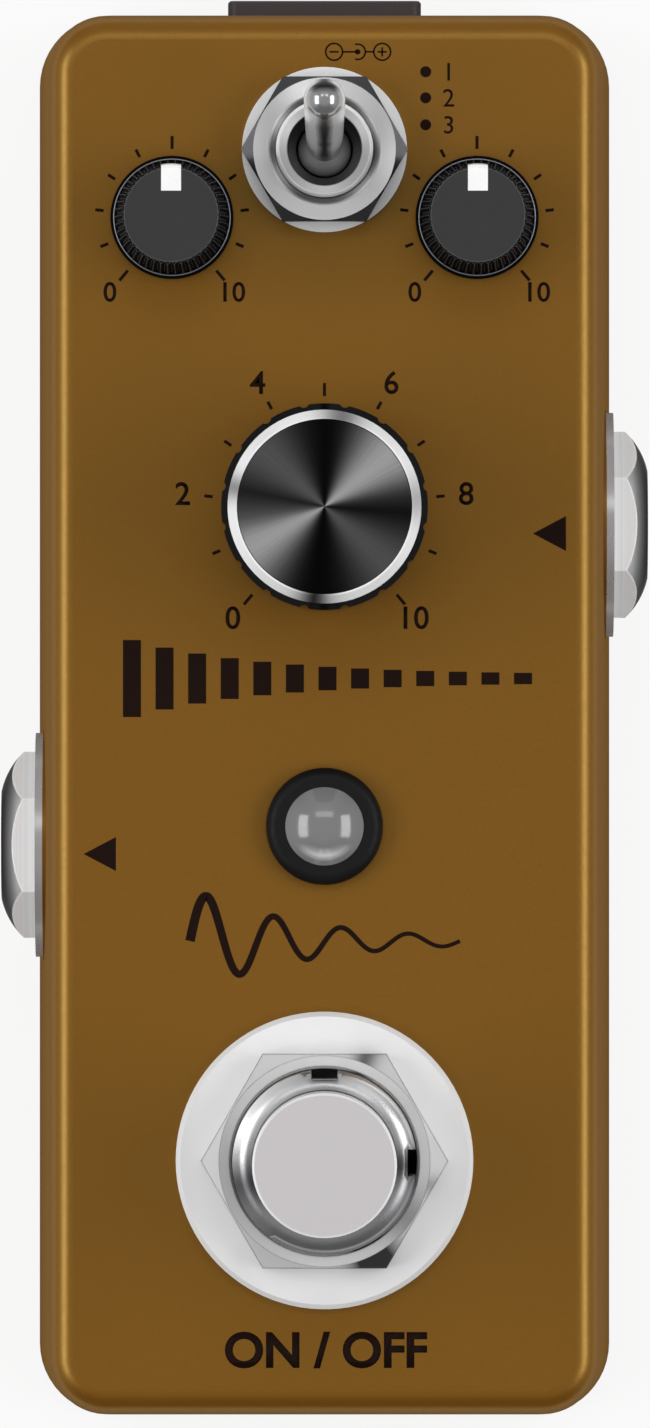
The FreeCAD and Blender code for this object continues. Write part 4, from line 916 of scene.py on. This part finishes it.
class Print:
    """Collects flat shapes, and makes one thin solid piece of them."""

    def __init__(self, name):
        self.name = name
        self.bm = bmesh.new()

    def join(self, first, second):
        """Faces between two closed loops that have as many vertices."""
        for k in range(len(first)):
            n = (k + 1) % len(first)
            self.bm.faces.new((first[k], first[n], second[n], second[k]))

    def loops(self, *outlines):
        """A film within one outline, or between an inner and an outer one."""
        low, high = [
            [[self.bm.verts.new((x, y, z)) for x, y in line] for line in outlines]
            for z in (top_z, top_z + INK_THICKNESS)
        ]
        for lower, upper in zip(low, high):
            self.join(lower, upper)
        for level in (low, high):
            if len(level) == 1:
                self.bm.faces.new(level[0])
            else:
                self.join(*level)

    def circle(self, x, y, radius):
        turns = [2 * math.pi * k / CIRCLE_STEPS for k in range(CIRCLE_STEPS)]
        return [(x + radius * math.cos(a), y + radius * math.sin(a)) for a in turns]

    def disc(self, x, y, radius):
        self.loops(self.circle(x, y, radius))

    def ring(self, x, y, radius, width):
        self.loops(self.circle(x, y, radius - width / 2), self.circle(x, y, radius + width / 2))

    def bar(self, x, y, width, height):
        half_w, half_h = width / 2, height / 2
        self.loops([(x - half_w, y - half_h), (x + half_w, y - half_h),
                    (x + half_w, y + half_h), (x - half_w, y + half_h)])

    def stroke(self, points, widths):
        """A line through points, with a width at each."""
        left, right = [], []
        for k, (x, y) in enumerate(points):
            before = points[max(0, k - 1)]
            after = points[min(len(points) - 1, k + 1)]
            run = Vector((after[0] - before[0], after[1] - before[1])).normalized()
            half = widths[k] / 2
            left.append((x - run.y * half, y + run.x * half))
            right.append((x + run.y * half, y - run.x * half))
        self.strip(left, right)

    def strip(self, left, right):
        """A film between two edges that have as many points."""
        rows = []
        for z in (top_z, top_z + INK_THICKNESS):
            for edge in (left, right):
                rows.append([self.bm.verts.new((x, y, z)) for x, y in edge])
        low_left, low_right, high_left, high_right = rows
        for a, b in ((low_left, low_right), (high_left, high_right), (low_left, high_left),
                     (low_right, high_right)):
            for k in range(len(a) - 1):
                self.bm.faces.new((a[k], a[k + 1], b[k + 1], b[k]))
        for k in (0, -1):
            self.bm.faces.new((low_left[k], low_right[k], high_right[k], high_left[k]))

    def arc(self, x, y, radius, start, end, width):
        """A round line, its angles in degrees."""
        steps = max(2, round(CIRCLE_STEPS * abs(end - start) / 360))
        turns = [math.radians(start + (end - start) * k / steps) for k in range(steps + 1)]
        points = [(x + radius * math.cos(a), y + radius * math.sin(a)) for a in turns]
        self.stroke(points, [width] * len(points))

    def text(self, words, x, y, height, bold=0.0):
        """Words centred on a place, as tall as height, in the plain built-in letters."""
        curve = bpy.data.curves.new("words", "FONT")
        curve.body = words
        curve.offset = bold
        curve.resolution_u = LETTER_STEPS
        holder = bpy.data.objects.new("words", curve)
        scene.collection.objects.link(holder)
        graph = bpy.context.evaluated_depsgraph_get()
        flat = bpy.data.meshes.new_from_object(holder.evaluated_get(graph))
        bpy.data.objects.remove(holder)
        bpy.data.curves.remove(curve)
        corners = [v.co for v in flat.vertices]
        low = Vector(min(c[k] for c in corners) for k in range(3))
        high = Vector(max(c[k] for c in corners) for k in range(3))
        size = height / (high.y - low.y)
        flat.transform(
            Matrix.Translation((x, y, top_z)) @ Matrix.Scale(size, 4)
            @ Matrix.Translation(-(low + high) / 2)
        )
        letters = bmesh.new()
        letters.from_mesh(flat)
        bmesh.ops.remove_doubles(letters, verts=letters.verts, dist=WELD)
        made = bmesh.ops.extrude_face_region(letters, geom=letters.faces[:])
        for v in made["geom"]:
            if isinstance(v, bmesh.types.BMVert):
                v.co.z += INK_THICKNESS
        letters.to_mesh(flat)
        letters.free()
        self.bm.from_mesh(flat)
        bpy.data.meshes.remove(flat)

    def finish(self, material):
        piece = add_piece(self.name, self.bm, material)
        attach(piece, CASE)


def print_modes(material):
    """Three dots with the numbers of the toggle's three positions."""
    dot_x_px = 425.7
    dots_y_px = (71.7, 97.8, 124.8)
    dot_radius, number_offset, number_height = 0.36 * MM, 1.5 * MM, 1.15 * MM
    marks = Print("mode_marks")
    for number, y_px in enumerate(dots_y_px, 1):
        x, y = photo_point(dot_x_px, y_px)
        marks.disc(x, y, dot_radius)
        marks.text(str(number), x + number_offset, y, number_height)
    marks.finish(material)


def print_polarity(material):
    """The usual sign of a power socket whose centre pin is negative."""
    minus_px, pin_px, plus_px, row_px = 334.1, 357.7, 382.2, 51.8
    line, radius, sleeve, pin_radius = 0.11 * MM, 0.55 * MM, 0.5 * MM, 0.18 * MM
    sign_width = 1.1 * radius
    sleeve_end = 110  # degrees
    minus_x, y = photo_point(minus_px, row_px)
    plus_x, _ = photo_point(plus_px, row_px)
    pin_x, _ = photo_point(pin_px, row_px)
    marks = Print("polarity_marks")
    for x in (minus_x, plus_x):
        marks.ring(x, y, radius, line)
        marks.bar(x, y, sign_width, line)
    marks.bar(plus_x, y, line, sign_width)
    marks.disc(pin_x, y, pin_radius)
    marks.bar((minus_x + radius + pin_x) / 2, y, pin_x - minus_x - radius, line)
    marks.bar((pin_x + sleeve + plus_x - radius) / 2, y, plus_x - radius - pin_x - sleeve, line)
    marks.arc(pin_x, y, sleeve, -sleeve_end, sleeve_end, line)
    marks.finish(material)


def print_scale(material, knob, radius, numbered, number_height):
    """Ticks over a knob's turn, every fifth one longer, with numbers at some of them."""
    knob_turn = 280  # degrees
    ticks = 11
    tick_width, long_tick, short_tick = 0.2 * MM, 0.85 * MM, 0.55 * MM
    number_gap = 0.75 * number_height
    centre = node_centre(knob + "_knob")
    marks = Print(knob + "_scale")
    for k in range(ticks):
        angle = math.radians(90 + knob_turn / 2 - knob_turn * k / (ticks - 1))
        along = Vector((math.cos(angle), math.sin(angle)))
        reach = radius + (long_tick if k % 5 == 0 else short_tick)
        ends = [centre.xy + along * r for r in (radius, reach)]
        marks.stroke([tuple(end) for end in ends], [tick_width] * 2)
        if k in numbered:
            place = centre.xy + along * (radius + long_tick + number_gap)
            marks.text(str(k), place.x, place.y, number_height, bold=NUMBER_BOLDNESS)
    marks.finish(material)


# Each arrow in photo pixels: its tip's x and y, its back's x, and half its height
ARROWS_PX = (
    (533.0, 533.5, 566.0, 17.5),
    (83.7, 854.0, 115.9, 17.0),
)


def print_arrows(material):
    """The signal's way: in from the right side's jack, out at the left side's."""
    marks = Print("signal_arrows")
    for tip_x, tip_y, back_x, half in ARROWS_PX:
        marks.loops([
            photo_point(tip_x, tip_y),
            photo_point(back_x, tip_y + half),
            photo_point(back_x, tip_y - half),
        ])
    marks.finish(material)


def print_echo_bars(material):
    """A row of bars that die away, as an echo does."""
    left_px, right_px, top_px, bottom_px = 123.0, 532.0, 640.0, 717.0
    bars = 13
    width_share = 0.55
    last_share, fade = 0.1, 3.2
    left, top = photo_point(left_px, top_px)
    right, bottom = photo_point(right_px, bottom_px)
    pitch = (right - left) / (bars - 1 + width_share)
    width = width_share * pitch
    marks = Print("echo_bars")
    for k in range(bars):
        share = last_share + (1 - last_share) * math.exp(-fade * k / bars)
        marks.bar(left + width / 2 + k * pitch, (top + bottom) / 2, width,
                  (top - bottom) * share)
    marks.finish(material)


def print_wave(material):
    """A plain wave that dies away, between the lamp and the footswitch."""
    left_px, right_px, row_px = 190.0, 460.0, 941.0
    swing, thin, swell = 3.4 * MM, 0.22 * MM, 0.4 * MM
    waves, steps, fade = 4, 160, 2.4
    left, y = photo_point(left_px, row_px)
    right, _ = photo_point(right_px, row_px)
    points, widths = [], []
    for k in range(steps + 1):
        share = k / steps
        strength = math.exp(-fade * share)
        height = swing * strength * math.sin(2 * math.pi * waves * share)
        points.append((left + (right - left) * share, y + height))
        widths.append(thin + swell * strength)
    marks = Print("decay_wave")
    marks.stroke(points, widths)
    marks.finish(material)


def print_switch_label(material):
    """ON and OFF in front of the footswitch."""
    middle_px = (326.0, 1350.0)
    height = 2.4 * MM
    marks = Print("switch_label")
    marks.text("ON / OFF", *photo_point(*middle_px), height, bold=LABEL_BOLDNESS)
    marks.finish(material)


def print_scales(material):
    for knob in SMALL_KNOBS:
        print_scale(material, knob, radius=4.5 * MM, numbered=(0, 10), number_height=1.3 * MM)
    print_scale(material, "time", radius=7.35 * MM, numbered=(0, 2, 4, 6, 8, 10),
                number_height=1.5 * MM)


def print_marks():
    film = ink()
    print_modes(film)
    print_polarity(film)
    print_scales(film)
    print_arrows(film)
    print_echo_bars(film)
    print_wave(film)
    print_switch_label(film)


# Camera, floor and light

FLOOR_GLOW_SHARE = 0.85  # of what the camera sees of the floor
MIRRORED_GLOW_SHARE = 0.9  # of what polished pieces see of it
# The floor's glow that mirrors see is dimmed round the pedal, a painted shadow
DIM_REACH = 120 * MM  # how far round the pedal the floor lights it less
DIM_GLOW = 0.15


def set_camera():
    """A long lens straight above the pedal, which fills the frame as in the photo."""
    data = bpy.data.cameras.new("camera")
    data.sensor_fit = "VERTICAL"
    data.sensor_height = SENSOR
    data.lens = SENSOR * CAMERA_HEIGHT / (PHOTO_HEIGHT * METRES_PER_PX)
    data.clip_start = 0.05
    data.clip_end = 10.0
    camera = bpy.data.objects.new("camera", data)
    camera.location = (
        (PHOTO_WIDTH / 2 - BODY_CENTRE_PX[0]) * METRES_PER_PX,
        (BODY_CENTRE_PX[1] - PHOTO_HEIGHT / 2) * METRES_PER_PX,
        CAMERA_HEIGHT,
    )
    scene.collection.objects.link(camera)
    scene.camera = camera


def floor_white():
    """White that glows for the camera and in mirrors, and lights the pedal less close to it, where
    mirrors see its glow dimmed as a painted shadow.
    """
    s = Shader("floor_white", (0.9, 0.9, 0.9), roughness=0.9, Specular_IOR_Level=0.0)
    ray = s.node("ShaderNodeLightPath").outputs
    _, high = cad_box
    reach = s.vector_math("ABSOLUTE", s.place)
    beyond = s.vector_math("SUBTRACT", reach, (high[0], high[1], 0))
    distance = s.vector_math("LENGTH", s.vector_math("MAXIMUM", beyond))
    mirrored = s.math("MAXIMUM", ray["Is Glossy Ray"], ray["Is Transmission Ray"])
    # Painted shadow: mirrors see a dimmer glow close to the pedal
    shade = s.span(distance, 0.0, DIM_REACH, DIM_GLOW, 1.0)
    glow = s.node("ShaderNodeEmission", {
        "Color": (1, 1, 1, 1), "Strength": s.math("MAXIMUM", ray["Is Camera Ray"], shade)})
    share = s.math("MAXIMUM", s.math("MULTIPLY", ray["Is Camera Ray"], FLOOR_GLOW_SHARE),
                   s.math("MULTIPLY", mirrored, MIRRORED_GLOW_SHARE))
    mixed = s.node("ShaderNodeMixShader", {0: share, 1: s.bsdf.outputs[0], 2: glow.outputs[0]})
    s.tree.links.new(mixed.outputs[0], s.tree.nodes["Material Output"].inputs["Surface"])
    return s.material


def add_floor():
    """A pale plain floor that keeps the pedal's shadow."""
    half = 3.0
    mesh = bpy.data.meshes.new("floor")
    corners = [(-half, -half, 0), (half, -half, 0), (half, half, 0), (-half, half, 0)]
    mesh.from_pydata(corners, [], [(0, 1, 2, 3)])
    mesh.materials.append(floor_white())
    floor = bpy.data.objects.new("floor", mesh)
    scene.collection.objects.link(floor)


def toward(azimuth, elevation):
    """The direction at an azimuth and an elevation in degrees."""
    a, e = math.radians(azimuth), math.radians(elevation)
    return Vector((math.cos(a) * math.cos(e), math.sin(a) * math.cos(e), math.sin(e)))


LIGHT_DISTANCE = 0.8

# Soft boxes: azimuth, elevation, width, height and radiance; angles in degrees
AREA_LIGHTS = {
    "left": (180, 46, 0.6, 0.28, 4.8),
    "right": (0, 46, 0.6, 0.28, 4.8),
    "rear": (90, 66, 0.5, 0.16, 2.0),
}

SKY_BASE = 0.12

# Soft patches of the studio's sky: azimuth, elevation, outer and inner half angle, brightness
SKY_PATCHES = (
    (0, 90, 50, 15, 0.35),
    (180, 18, 55, 12, 0.5),
    (0, 18, 55, 12, 0.4),
    (90, 30, 50, 15, 0.4),
)


def add_area_light(name, azimuth, elevation, width, height, radiance):
    """A soft box that faces the pedal."""
    data = bpy.data.lights.new(name, "AREA")
    data.shape = "RECTANGLE"
    data.size = width
    data.size_y = height
    data.energy = radiance * math.pi * width * height
    light = bpy.data.objects.new(name, data)
    way = toward(azimuth, elevation)
    light.location = Vector((0, 0, top_z)) + LIGHT_DISTANCE * way
    light.rotation_euler = (-way).to_track_quat("-Z", "Y").to_euler()
    scene.collection.objects.link(light)


def make_sky():
    """A world that is bright overhead, at both sides and behind, and dim in front."""
    world = bpy.data.worlds.new("studio")
    world.use_nodes = True
    tree = world.node_tree
    direction = add_node(tree, "ShaderNodeTexCoord").outputs["Generated"]
    total = SKY_BASE
    for azimuth, elevation, outer, inner, brightness in SKY_PATCHES:
        near = add_node(tree, "ShaderNodeVectorMath", {0: direction, 1: toward(azimuth, elevation)},
                        operation="DOT_PRODUCT")
        patch = add_node(tree, "ShaderNodeMapRange", {
            "Value": near.outputs["Value"],
            "From Min": math.cos(math.radians(outer)),
            "From Max": math.cos(math.radians(inner)),
            "To Max": brightness,
        }, interpolation_type="SMOOTHSTEP")
        added = add_node(tree, "ShaderNodeMath", {0: total, 1: patch.outputs["Result"]})
        total = added.outputs[0]
    background = tree.nodes["Background"].inputs
    background["Color"].default_value = (1, 1, 1, 1)
    tree.links.new(total, background["Strength"])
    scene.world = world


def light_scene():
    make_sky()
    for name, values in AREA_LIGHTS.items():
        add_area_light(name, *values)


dress_nodes()
thread_bushings()
coil_spring()
line_small_knobs()
furnish_lamp()
print_marks()
scene.view_settings.view_transform = "Standard"
set_camera()
add_floor()
light_scene()
